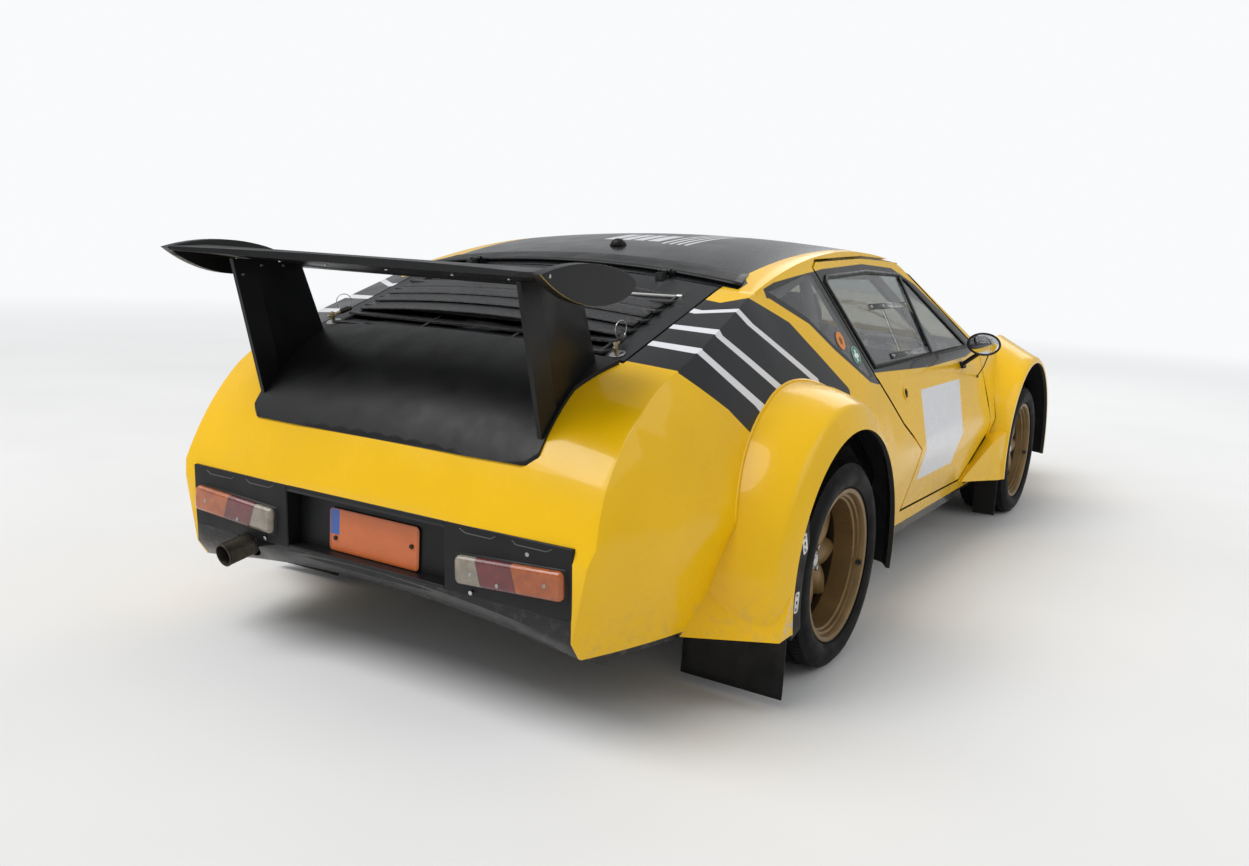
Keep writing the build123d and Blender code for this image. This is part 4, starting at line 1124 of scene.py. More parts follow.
class RALLY_OT_tail(CarOperator, bpy.types.Operator):
    """Dress the tail cover, black panel, lamps, plate and exhaust."""

    bl_idname = "rally.tail"
    bl_label = "Tail"

    def execute(self, context):
        edge = self.sizes().edge
        shell("tail_cover", "satin_black", edge)
        self.moulding()
        shell("exhaust", "exhaust_steel", 0.001)
        self.lamps()
        self.plate()
        self.panel_lines()
        self.pipe_bore()
        return {"FINISHED"}

    def moulding(self):
        """The black panel: a moulded slab with a recess for the plate, a rolled lower lip and lamp pockets."""
        mesh = bmesh.new()
        half, recess = TAIL_HALF, 0.255
        wall = [(0.8735, 0.4565), (0.869, 0.330), (0.867, 0.300), (0.858, 0.278), (0.840, 0.264), (0.826, 0.268)]
        end = extruded([(-half, rear(y), z) for y, z in wall + [(0.826, 0.4565)]], (half - recess, 0, 0))
        joined(mesh, end)
        end = extruded([(recess, rear(y), z) for y, z in wall + [(0.826, 0.4565)]], (half - recess, 0, 0))
        joined(mesh, end)
        low = [(0.867, 0.302), (0.858, 0.278), (0.840, 0.264), (0.815, 0.268), (0.815, 0.302)]
        joined(mesh, extruded([(-recess, rear(y), z) for y, z in low], (2 * recess, 0, 0)))
        top = [(0.8735, 0.4565), (0.873, 0.446), (0.815, 0.446), (0.815, 0.4565)]
        joined(mesh, extruded([(-recess, rear(y), z) for y, z in top], (2 * recess, 0, 0)))
        add_box(mesh, (0, rear(0.8205), 0.374), (2 * recess + 0.02, 0.011, 0.16))
        for _, side in SIDES:
            turn = Matrix.Rotation(radians(-side * LAMP_TILT), 3, "Y")
            add_box(mesh, (side * 0.443, rear(0.866), 0.3635), (0.306, 0.016, 0.078), turn, 0.006)
        new_object(
            "tail_panel_moulding", mesh, ["panel_black"], "root", ["tail_panel"], bevel=0.003)

    def lamps(self):
        """Each lens is a slab with rounded corners that leans with the panel."""
        mesh = bmesh.new()
        for _, side in SIDES:
            turn = Matrix.Rotation(radians(-side * LAMP_TILT), 3, "Y")
            made = bmesh.ops.create_cube(mesh, size=1.0)
            bmesh.ops.scale(mesh, verts=made["verts"], vec=(0.292, 0.034, 0.066))
            uprights = [e for e in {e for v in made["verts"] for e in v.link_edges}
                        if abs((e.verts[0].co - e.verts[1].co).normalized().y) > 0.9]
            rounded = bmesh.ops.bevel(
                mesh, geom=uprights, offset=0.014, segments=6, profile=0.5, affect="EDGES", material=-1)
            verts = {v for f in rounded["faces"] for v in f.verts}
            place = Matrix.Translation((side * 0.443, rear(0.8705), 0.3635)) @ turn.to_4x4()
            bmesh.ops.transform(mesh, matrix=place, verts=list(verts))
        new_object("tail_lamp_lenses", mesh, ["tail_lens"], "root", ["tail_lamps"], 40, 0.009)
        screws = bmesh.new()
        for _, side in SIDES:
            for x, z in ((0.345, 0.352), (0.545, 0.368), (0.42, 0.342)):
                place = Vector((side * x, rear(0.8868), z))
                add_rod(screws, place - Vector((0, 0.003, 0)), place + Vector((0, 0.0016, 0)), 0.0045, 14, 0, bevel=0.0008)
                add_box(screws, place + Vector((0, 0.0017, 0)), (0.006, 0.0006, 0.001), index=1)
        new_object("tail_lamp_screws", screws, ["bright_steel", "lock_black"], "root")

    def plate(self):
        low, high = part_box("number_plate")
        mesh = bmesh.new()
        add_box(mesh, (low + high) / 2 - Vector((0, 0, 0.008)), (0.292, high.y - low.y, 0.108))
        uprights = [e for e in mesh.edges if abs((e.verts[0].co - e.verts[1].co).normalized().y) > 0.9]
        bmesh.ops.bevel(mesh, geom=uprights, offset=0.011, segments=6, profile=0.5, affect="EDGES", material=-1)
        new_object("number_plate_face", mesh, ["plate_face"], "root", ["number_plate"], bevel=0.0006)
        bolts = bmesh.new()
        for x, z in ((0.124, -0.021), (-0.124, 0.004)):
            place = Vector((x, high.y, (low.z + high.z) / 2 - 0.008 + z))
            add_rod(bolts, place - Vector((0, 0.002, 0)), place + Vector((0, 0.004, 0)), 0.0062, 6, 0, bevel=0.0008)
        new_object("plate_bolts", bolts, ["lock_black"], "root")

    def panel_lines(self):
        """The thin stepped line near the panel's top edge, with a shallow notch over each lamp."""
        mesh = bmesh.new()
        runs = (
            ((0.30, 0.447), (0.318, 0.439), (0.388, 0.439), (0.402, 0.447)),
            ((0.446, 0.447), (0.458, 0.439), (0.537, 0.439), (0.553, 0.447)),
        )
        for _, side in SIDES:
            for run in runs:
                points = [Vector((side * x, rear(0.869 + (z - 0.33) * 0.0357), z)) for x, z in run]
                add_line(mesh, points, 0.0013, index=0)
        for x, z in ((-0.487, 0.423), (0.335, 0.304), (-0.335, 0.304)):
            spot = Vector((x, rear(0.8695), z))
            add_rod(mesh, spot - Vector((0, 0.004, 0)), spot + Vector((0, 0.003, 0)), 0.006, 6, 1, bevel=0.0008)
        new_object("tail_panel_lines", mesh, ["grey_line", "bright_steel"], "root")

    def pipe_bore(self):
        """A rolled end on the outlet, and a near-black disc inside it: soot, and painted shade for the dark bore."""
        mesh = bmesh.new()
        start, end = Vector((0.400, rear(0.708), 0.304)), Vector((0.417, rear(0.934), 0.256))
        run = (end - start).normalized()
        add_line(mesh, ring(end - run * 0.002, 0.0285, run, 40), 0.0026, True, 0)
        add_rod(mesh, end - run * 0.062, end - run * 0.058, 0.0265, 36, 1)
        new_object("exhaust_end", mesh, ["exhaust_steel", "dark_bore"], "root")


class RALLY_OT_wing(CarOperator, bpy.types.Operator):
    """Dress the wing, its worn plate edges and its screws."""

    bl_idname = "rally.wing"
    bl_label = "Wing"

    def execute(self, context):
        mesh = whole_mesh("wing")
        for face in mesh.faces:
            centre = face.calc_center_median()
            if abs(centre.x) > 0.5495 and face.normal.z < -0.3 and abs(face.normal.x) < 0.5:
                face.material_index = 1
        for vert in mesh.verts:
            behind = (vert.co.y - rear(0.581)) / 0.119
            if abs(vert.co.x) > 0.5475 and behind < 1:
                vert.co.y = rear(0.625) + 0.075 * max(0.0, behind) ** 1.8
        new_object(
            "wing_blade", mesh, ["wing_black", "worn_edge"], "root", ["wing"], 30, 0.0025, turn=False)
        tree = surface("wing")
        screws = bmesh.new()
        for x in (-0.52, -0.36, -0.2, 0.0, 0.2, 0.36, 0.52):
            spot = dropped(tree, (x, rear(0.80), 0.7), (0, 0, 1), 0.0) if abs(abs(x) - 0.44) > 0.02 else None
            add_rod(screws, spot + Vector((0, 0, 0.003)), spot - Vector((0, 0, 0.0016)), 0.0048, 12, 0, bevel=0.0006)
        for _, side in SIDES:
            for y, z in ((0.848, 0.962), (0.79, 0.985), (0.72, 0.985), (0.752, 0.665), (0.66, 0.716)):
                start = (side * 0.3, rear(y), z)
                hit, _, _, _ = tree.ray_cast(Vector(start), Vector((side, 0, 0)))
                if hit:
                    outward = Vector((-side, 0, 0))
                    add_rod(screws, hit - outward * 0.003, hit + outward * 0.0016, 0.0048, 12, 0, bevel=0.0006)
            spot = Vector((side * 0.5765, rear(0.955), 1.018))
            add_rod(screws, spot - Vector((side * 0.004, 0, 0)), spot + Vector((side * 0.0012, 0, 0)), 0.0038, 12, 0)
        new_object("wing_screws", screws, ["bright_steel"], "root")
        return {"FINISHED"}


# Wide arches, beads, flaps and their brackets


def arch_bead(tree, axle, radius, side, first, last, lift, count=44):
    """Points on the body's side, round the outside of a wide arch."""
    points = []
    for step in range(count):
        angle = radians(first + (last - first) * step / (count - 1))
        y, z = axle + radius * cos(angle), HUB_Z + radius * sin(angle)
        points.append(dropped(tree, (side * 1.4, y, z), (-side, 0, 0), lift))
    return points


# Section of a wide rear arch as (distance from the middle, radius from the axle), and its foot's outer planes
ARCH_SECTION = (
    (0.700, 0.474), (0.780, 0.4655), (0.830, 0.450), (0.864, 0.4345), (0.872, 0.4285), (0.877, 0.420), (0.888, 0.394),
    (0.8965, 0.372), (0.898, 0.366), (0.884, 0.366), (0.882, 0.374), (0.858, 0.412), (0.820, 0.430), (0.700, 0.452),
)
FOOT_WALL = ((0.896, 0.431, 0.192), (0.552, 0.618, 0.194), (0.786, 0.344, 0.468))
FOOT_LOW = 0.192


def line_wheel_side(mesh, centre):
    """Gives the faces that look at the wheel the second finish."""
    for face in mesh.faces:
        spoke = face.calc_center_median() - centre
        if face.normal.dot(Vector((0, spoke.y, spoke.z)).normalized()) < -0.25:
            face.material_index = 1


def rear_arch(side):
    """One wide rear arch: a spun ring and the foot behind the wheel, both cut off at the lower edge."""
    centre = Vector((0, REAR_AXLE, HUB_Z))
    ring_part = spun([(side * x, r) for x, r in ARCH_SECTION], centre, 120)
    bmesh.ops.recalc_face_normals(ring_part, faces=ring_part.faces)
    line_wheel_side(ring_part, centre)
    cut(ring_part, (0, 0, FOOT_LOW), (0, 0, -1))
    inner = 0.369
    first = (inner ** 2 - (HUB_Z - FOOT_LOW) ** 2) ** 0.5
    outline = [(first, FOOT_LOW)]
    for step in range(1, 13):
        angle = radians(-13.5 + 45 * step / 12)
        outline.append((inner * cos(angle), HUB_Z + inner * sin(angle)))
    outline += [(0.42, 0.52), (0.66, 0.47), (0.66, FOOT_LOW)]
    foot = extruded([(side * 0.60, rear(y), z) for y, z in outline], (side * 0.296, 0, 0))
    a, b, c = (Vector((side * x, rear(y), z)) for x, y, z in FOOT_WALL)
    normal = (b - a).cross(c - a).normalized()
    if normal.x * side < 0:
        normal = -normal
    cut(foot, a, normal)
    cut(foot, (side * 0.896, rear(0.436), 0), Vector((side * 0.186, 0.348, 0)).normalized())
    joined(ring_part, foot)
    return ring_part


class RALLY_OT_arches(CarOperator, bpy.types.Operator):
    """Run the sealing beads round the wide arches and fit the flaps and their slotted brackets."""

    bl_idname = "rally.arches"
    bl_label = "Wide arches"

    def execute(self, context):
        bead = self.sizes().bead
        arches = rear_arch(1)
        joined(arches, rear_arch(-1))
        new_object(
            "flares_rear_panel", arches, ["arch_paint", "tub_paint"], "root", ["flares_rear"], 30,
            self.sizes().edge, turn=False)
        front = whole_mesh("flares_front")
        line_wheel_side(front, Vector((0, FRONT_AXLE, HUB_Z)))
        for _, side in SIDES:
            joined(front, self.cheek(side))
        new_object(
            "flares_front_panel", front, ["arch_paint", "tub_paint"], "root", ["flares_front"], 30,
            self.sizes().edge, turn=False)
        tree = surface("rear_body", "door_left", "door_right")
        for hand, side in SIDES:
            mesh = bmesh.new()
            add_line(mesh, arch_bead(tree, REAR_AXLE, 0.4745, side, 22, 158, -bead * 1.3), bead * 1.9)
            new_object(f"rear_arch_bead_{hand}", mesh, ["body_paint"], "root")
        shell("mudflaps_front", "flap_rubber", 0.001)
        self.rear_flaps()
        self.brackets()
        return {"FINISHED"}

    def cheek(self, side):
        """The wall that closes a front arch above the wing's top, on its inner side."""
        outline = []
        for radius, angles in ((0.4915, range(48, 154, 3)), (0.398, range(153, 47, -3))):
            outline += [(radius * cos(radians(a)), HUB_Z + radius * sin(radians(a))) for a in angles]
        return extruded([(side * 0.6995, FRONT_AXLE + y, z) for y, z in outline], (side * 0.005, 0, 0))

    def rear_flaps(self):
        """A rubber strip that follows the wheel opening and the flap below it, a little bent by the air."""
        mesh = bmesh.new()
        for _, side in SIDES:
            outline = []
            for radius, angles in ((0.3655, range(-16, 39, 5)), (0.312, range(24, -21, -5))):
                outline += [(radius * cos(radians(a)), HUB_Z + radius * sin(radians(a))) for a in angles]
            joined(mesh, extruded([(side * 0.700, rear(y), z) for y, z in outline], (side * 0.192, 0, 0)))
            made = bmesh.ops.create_grid(mesh, x_segments=10, y_segments=10, size=1.0)
            for vert in made["verts"]:
                across, down = vert.co.x, (1 - vert.co.y) / 2
                x = 0.746 + across * 0.136 + 0.004 * down * across
                y = 0.3555 + 0.010 * down ** 2 * (0.6 + 0.4 * across)
                vert.co = Vector((side * x, rear(y), 0.215 - 0.188 * down))
        piece = new_object("rear_flaps", mesh, ["flap_rubber"], "root", ["mudflaps_rear"])
        wall = piece.modifiers.new("Wall", "SOLIDIFY")
        wall.thickness = 0.0045
        wall.offset = 0.0

    def brackets(self):
        """Slotted aluminium plates with their bolts, two on each rear strip and one on each front flap."""
        mesh = bmesh.new()
        for _, side in SIDES:
            for y, z, lean in ((0.3180, 0.408, -18), (0.3420, 0.268, 3)):
                self.bracket(mesh, Vector((side * 0.8945, rear(y), z)), side, lean)
            for z in (0.330, 0.245):
                self.bracket(mesh, Vector((side * 0.8515, rear(-1.885), z)), side, 0)
        new_object("flap_brackets", mesh, ["slotted_aluminium", "lock_black", "bright_steel"], "root")

    def bracket(self, mesh, centre, side, lean):
        made = add_box(mesh, centre, (0.0025, 0.026, 0.052), Matrix.Rotation(radians(lean), 3, "X"))
        edges = [e for e in {e for v in made["verts"] for e in v.link_edges}
                 if abs((e.verts[0].co - e.verts[1].co).normalized().x) > 0.9]
        bmesh.ops.bevel(mesh, geom=edges, offset=0.0075, segments=5, profile=0.5, affect="EDGES", material=-1)
        out = Vector((side, 0, 0))
        for dz, radius, index in ((0.0, 0.0052, 1), (0.0175, 0.0038, 2), (-0.0175, 0.0038, 2)):
            spot = centre + Matrix.Rotation(radians(lean), 3, "X") @ Vector((0, 0, dz))
            add_rod(mesh, spot - out * 0.004, spot + out * (0.0016 if index == 1 else 0.004), radius, 14, index, bevel=0.0005)


# Glazing


def seal_ring(node, facing, width, height):
    """A rubber ring on the outer edge of a pane, as (mesh)."""
    mesh = whole_mesh(node)
    facing = Vector(facing).normalized()
    away = [f for f in mesh.faces if f.normal.dot(facing) < 0.35]
    bmesh.ops.delete(mesh, geom=away, context="FACES")
    bmesh.ops.dissolve_limit(mesh, angle_limit=radians(1.5), verts=mesh.verts, edges=mesh.edges)
    inner = list(mesh.faces)
    bmesh.ops.inset_region(mesh, faces=inner, thickness=width, depth=0.0, use_boundary=True, use_even_offset=True)
    bmesh.ops.delete(mesh, geom=inner, context="FACES")
    for vert in mesh.verts:
        vert.co += vert.normal * 0.0004
    return mesh


class RALLY_OT_glazing(CarOperator, bpy.types.Operator):
    """Dress the glass, its rubber seals, the sliding hatches and the stickers."""

    bl_idname = "rally.glazing"
    bl_label = "Glazing"

    def execute(self, context):
        width = self.sizes().seal
        shell("windscreen", "screen_glass", angle=20)
        shell("quarter_windows", "side_perspex", angle=20)
        for hand, _ in SIDES:
            shell(f"door_glass_{hand}", "side_perspex", angle=20)
        seals = [("windscreen", (0, -0.6, 0.8), "root", width * 1.8)]
        seals += [(f"door_glass_{hand}", (side, 0, 0.3), f"door_{hand}", width) for hand, side in SIDES]
        for node, facing, body, wide in seals:
            piece = new_object(f"{node}_seal", seal_ring(node, facing, wide, 0.003), ["seal_rubber"], body,
                               turn=False)
            wall = piece.modifiers.new("Wall", "SOLIDIFY")
            wall.thickness = 0.004
            wall.offset = 1.0
        for hand, side in SIDES:
            self.hatch(hand, side)
            self.stickers(hand, side)
        return {"FINISHED"}

    def hatch(self, hand, side):
        """Clear strips with screws over and under the sliding panel, its edges and the black vent divider."""
        tree = surface(f"door_glass_{hand}", f"door_{hand}")
        mesh = bmesh.new()

        def on_glass(y, z, lift=0.0015):
            return dropped(tree, (side * 1.2, rear(y), z), (-side, 0, 0), lift)

        for z, first, last in ((0.925, -0.72, -1.10), (0.772, -0.76, -1.20)):
            ends = [on_glass(first, z), on_glass(last, z)]
            run = (ends[1] - ends[0])
            normal = (on_glass((first + last) / 2, z, 0.01) - on_glass((first + last) / 2, z, 0.0)).normalized()
            turn = Matrix((run.normalized(), normal.cross(run).normalized(), normal)).transposed()
            add_box(mesh, (ends[0] + ends[1]) / 2 + normal * 0.001, (run.length, 0.02, 0.003), turn, 0.0012, 0)
            for step in range(4):
                spot = ends[0] + run * (0.04 + 0.92 * step / 3) + normal * 0.0025
                add_rod(mesh, spot - normal * 0.002, spot + normal * 0.0022, 0.0042, 12, 1, bevel=0.0006)
        for y_top, y_low in ((-0.84, -0.86), (-1.05, -1.11)):
            add_line(mesh, [on_glass(y_top, 0.915), on_glass((y_top + y_low) / 2, 0.85), on_glass(y_low, 0.782)], 0.0026)
        top, low = on_glass(-1.1245, 1.016, 0.002), on_glass(-1.1785, 0.756, 0.002)
        run = low - top
        normal = (on_glass(-1.15, 0.88, 0.01) - on_glass(-1.15, 0.88, 0.0)).normalized()
        turn = Matrix((run.normalized(), normal.cross(run).normalized(), normal)).transposed()
        add_box(mesh, (top + low) / 2 + normal * 0.002, (run.length, 0.022, 0.006), turn, 0.0015, 2)
        new_object(f"side_hatch_{hand}", mesh, ["hatch_perspex", "bright_steel", "seal_rubber"], f"door_{hand}")

    def stickers(self, hand, side):
        """Two plain roundels low on the quarter window."""
        tree = surface("quarter_windows", "rear_body")
        rounds = (("orange", (0.75, 0.24, 0.03), -0.375, 0.838, False), ("green", (0.01, 0.22, 0.14), -0.455, 0.792, True))
        for label, tone, y, z, cross in rounds:
            centre = dropped(tree, (side * 1.2, rear(y), z), (-side, 0, 0))
            roundel(f"roundel_{label}_{hand}", tone, centre, cross)
            normal = (dropped(tree, (side * 1.2, rear(y), z), (-side, 0, 0), 0.01) - centre).normalized()
            disc = bmesh.new()
            add_rod(disc, centre + normal * 0.0003, centre + normal * 0.0013, 0.0285, 36)
            new_object(f"sticker_{label}_{hand}", disc, [f"roundel_{label}_{hand}"], "root")


# Doors


class RALLY_OT_doors(CarOperator, bpy.types.Operator):
    """Add door locks, and mirrors with their glass and stays."""

    bl_idname = "rally.doors"
    bl_label = "Doors and mirrors"

    def execute(self, context):
        for hand, side in SIDES:
            self.lock(hand, side)
            self.mirror(hand, side)
        return {"FINISHED"}

    def lock(self, hand, side):
        tree = surface(f"door_{hand}")
        mesh = bmesh.new()
        centre = dropped(tree, (side * 1.2, rear(-0.800), 0.653), (-side, 0, 0))
        normal = (dropped(tree, (side * 1.2, rear(-0.800), 0.653), (-side, 0, 0), 0.01) - centre).normalized()
        add_line(mesh, ring(centre + normal * 0.001, 0.019, normal, 32), 0.0032, True, 0)
        add_rod(mesh, centre - normal * 0.002, centre + normal * 0.0035, 0.0145, 28, 1, bevel=0.001)
        # Painted shade: a near-black slot stands in for the dark keyhole.
        add_box(mesh, centre + normal * 0.004, (0.003, 0.003, 0.014), index=2)
        flap = centre - Vector((0, 0.0, 0.035))
        add_box(mesh, flap + normal * 0.002, (0.004, 0.022, 0.02), bevel=0.0015, index=0)
        new_object(f"door_lock_{hand}", mesh, ["body_paint", "lock_black", "dark_bore"], f"door_{hand}")

    def mirror(self, hand, side):
        body = body_of(f"mirror_{hand}")
        shell(f"mirror_{hand}", "seal_rubber", 0.003, angle=40)
        low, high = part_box(f"mirror_{hand}")
        glass = bmesh.new()
        face = Vector(((low.x + high.x) / 2, high.y, 0.786))
        face.x = side * 0.836
        add_ball(glass, face - Vector((0, 0.0005, 0)), (0.056, 0.0035, 0.0365), sides=(40, 16))
        new_object(f"mirror_glass_{hand}", glass, ["mirror_face"], body)
        rim = bmesh.new()
        points = [face + Vector((0.0590 * cos(a), 0.0005, 0.0395 * sin(a))) for a in (tau * n / 40 for n in range(40))]
        add_line(rim, points, 0.0034, True)
        new_object(f"mirror_rim_{hand}", rim, ["seal_rubber"], body)
        tree = surface("front_body", f"door_{hand}")
        stay = bmesh.new()
        foot = dropped(tree, (side * 1.2, rear(-1.700), 0.640), (-side, 0, 0))
        start = Vector((side * 0.850, rear(-1.486), 0.750))
        add_line(stay, [start, (start + foot) / 2 + Vector((side * 0.004, 0, -0.004)), foot], 0.0022)
        add_ball(stay, foot, (0.006, 0.006, 0.006), sides=(14, 8))
        new_object(f"mirror_stay_{hand}", stay, ["seal_rubber"], body)


# Wheels


def tyre_profile(half, radius, seat):
    """Outline of a tyre as (across, radius) round one half of its section, tread ribs apart."""
    wall = [
        (half - 0.024, seat), (half - 0.017, seat + 0.006), (half - 0.013, seat + 0.012), (half - 0.009, seat + 0.013),
        (half - 0.003, radius - 0.056), (half, radius - 0.042), (half - 0.0015, radius - 0.028),
        (half - 0.005, radius - 0.019),
    ]
    return wall


class RALLY_OT_wheels(CarOperator, bpy.types.Operator):
    """Build the treaded tyres, the deep petal wheels and the brakes behind them."""

    bl_idname = "rally.wheels"
    bl_label = "Wheels"

    def execute(self, context):
        for end in ("front", "rear"):
            for hand, side in SIDES:
                self.tyre(end, hand, side)
                self.rim(end, hand, side)
        return {"FINISHED"}

    def tyre(self, end, hand, side):
        """Ribs stand round the tread, each cut into blocks."""
        node = f"tyre_{end}_{hand}"
        low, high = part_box(node)
        centre = (low + high) / 2
        half, radius = (high.x - low.x) / 2, (high.z - low.z) / 2
        groove = self.sizes().groove
        wall = tyre_profile(half, radius, 0.1985)
        floor = radius - groove
        ribs, channel = 5, 0.007
        tread_half = half - 0.016
        rib = (2 * tread_half - channel * (ribs - 1)) / ribs
        tread = []
        for number in range(ribs):
            start = tread_half - number * (rib + channel)
            tread += [(start, floor), (start - rib, floor)]
        profile = wall + tread + [(-x, r) for x, r in reversed(wall)]
        mesh = spun(profile, centre, 96)
        bands = []
        for face in mesh.faces:
            place = face.calc_center_median() - centre
            reach = (place.y ** 2 + place.z ** 2) ** 0.5
            for number in range(ribs):
                start = tread_half - number * (rib + channel)
                if abs(place.x - (start - rib / 2)) < 0.002 and reach > floor - 0.003:
                    bands.append(face)
        bmesh.ops.recalc_face_normals(mesh, faces=mesh.faces)
        bmesh.ops.inset_individual(mesh, faces=bands, thickness=0.0011, depth=groove, use_even_offset=True)
        for vert in mesh.verts:
            place = vert.co - centre
            reach = (place.y ** 2 + place.z ** 2) ** 0.5
            if reach > floor + groove * 0.5:
                edge = max(0.0, abs(place.x) - tread_half * 0.55) / (tread_half * 0.45)
                wanted = radius - 0.0004 - 0.0042 * edge ** 2
                vert.co.y = centre.y + place.y * wanted / reach
                vert.co.z = centre.z + place.z * wanted / reach
        new_object(f"{node}_tread", mesh, ["tyre_rubber"], body_of(node), [node], 28)

    def rim(self, end, hand, side):
        node = f"rim_{end}_{hand}"
        low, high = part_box(node)
        hub = (low + high) / 2
        outer = high.x if side > 0 else -low.x
        width = high.x - low.x
        dish = 0.062 if end == "front" else 0.092
        centre = Vector((0, hub.y, hub.z))
        face = outer - dish
        back = outer - width
        profile = [
            (outer - 0.0005, 0.205), (outer, 0.2), (outer - 0.002, 0.194), (outer - 0.007, 0.191),
            (outer - 0.016, 0.189), (outer - 0.018, 0.182), (outer - 0.026, 0.1805), (outer - 0.029, 0.1745),
            (outer - 0.036, 0.174), (face + 0.010, 0.168), (face - 0.020, 0.167), (face - 0.040, 0.186),
            (back + 0.026, 0.187), (back + 0.004, 0.192), (back, 0.2), (back + 0.003, 0.2058), (back + 0.008, 0.2055),
            (back + 0.010, 0.1985), (outer - 0.012, 0.1985), (outer - 0.009, 0.2055), (outer - 0.004, 0.2058),
        ]
        barrel = spun([(side * x, r) for x, r in profile], centre, 96)
        # Painted shade: the barrel inboard of the wheel's face takes the darkened bronze.
        for item in barrel.faces:
            if abs(item.calc_center_median().x) < face + 0.002:
                item.material_index = 3
        count = self.sizes().petals
        for number in range(count):
            self.petal(barrel, side, face, centre, tau * number / count)
        steel = Vector((side, 0, 0))
        add_rod(barrel, centre + steel * (face - 0.026), centre + steel * (face + 0.012), 0.055, 48, 0, 0.050, 0.003)
        add_rod(barrel, centre + steel * (face + 0.010), centre + steel * (face + 0.024), 0.027, 40, 1, 0.024, 0.002)
        add_ball(barrel, centre + steel * (face + 0.023), (0.007, 0.021, 0.021), 1, sides=(28, 12))
        for number in range(4):
            angle = tau * (number + 0.5) / 4
            spot = centre + Vector((0, cos(angle), sin(angle))) * 0.0405
            add_rod(barrel, spot + steel * (face + 0.010), spot + steel * (face + 0.022), 0.0088, 6, 1, bevel=0.0012)
        angle = radians(191)
        spot = centre + Vector((side * (outer - 0.012), 0, 0)) + Vector((0, cos(angle) * 0.1875, sin(angle) * 0.1875))
        inward = Vector((0, -cos(angle), -sin(angle)))
        add_rod(barrel, spot, spot + inward * 0.008 + steel * 0.004, 0.0075, 14, 2, bevel=0.001)
        add_box(barrel, spot + steel * 0.004, (0.012, 0.016, 0.010), Matrix.Rotation(angle, 3, "X"), 0.002, 2)
        new_object(
            f"{node}_wheel", barrel, ["wheel_bronze", "bright_steel", "lock_black", "wheel_shade"], body_of(node),
            [node], 34)
        self.brake(node, side, face, centre)

    def petal(self, mesh, side, face, centre, angle):
        """A leaf-shaped lobe, crowned outwards and pointed where it meets the barrel."""
        made = bmesh.ops.create_uvsphere(mesh, u_segments=24, v_segments=16, radius=1.0)
        length, half, thick, reach = 0.086, 0.039, 0.022, 0.098
        turn = Matrix.Rotation(-angle, 4, "X")
        for vert in made["verts"]:
            across, along, out = vert.co.x, vert.co.z, vert.co.y
            narrow = 1.0 - 0.5 * max(0.0, along) ** 1.8 + 0.1 * max(0.0, -along)
            y = across * half * narrow
            x = out * thick * (1.0 - 0.25 * max(0.0, along)) + 0.004 * (1 - across ** 2)
            place = turn @ Vector((0, y, reach + along * length))
            vert.co = centre + Vector((side * (face - 0.004 + x), place.y, place.z))
        tint(made, 0)

    def brake(self, node, side, face, centre):
        mesh = bmesh.new()
        out = Vector((side, 0, 0))
        disc = face - 0.070
        add_rod(mesh, centre + out * (disc - 0.006), centre + out * (disc + 0.006), 0.128, 64, 0, bevel=0.001)
        add_rod(mesh, centre + out * (disc - 0.020), centre + out * (face - 0.020), 0.044, 36, 0, bevel=0.002)
        new_object(f"{node}_brake", mesh, ["brake_iron"], body_of(node))


# Front


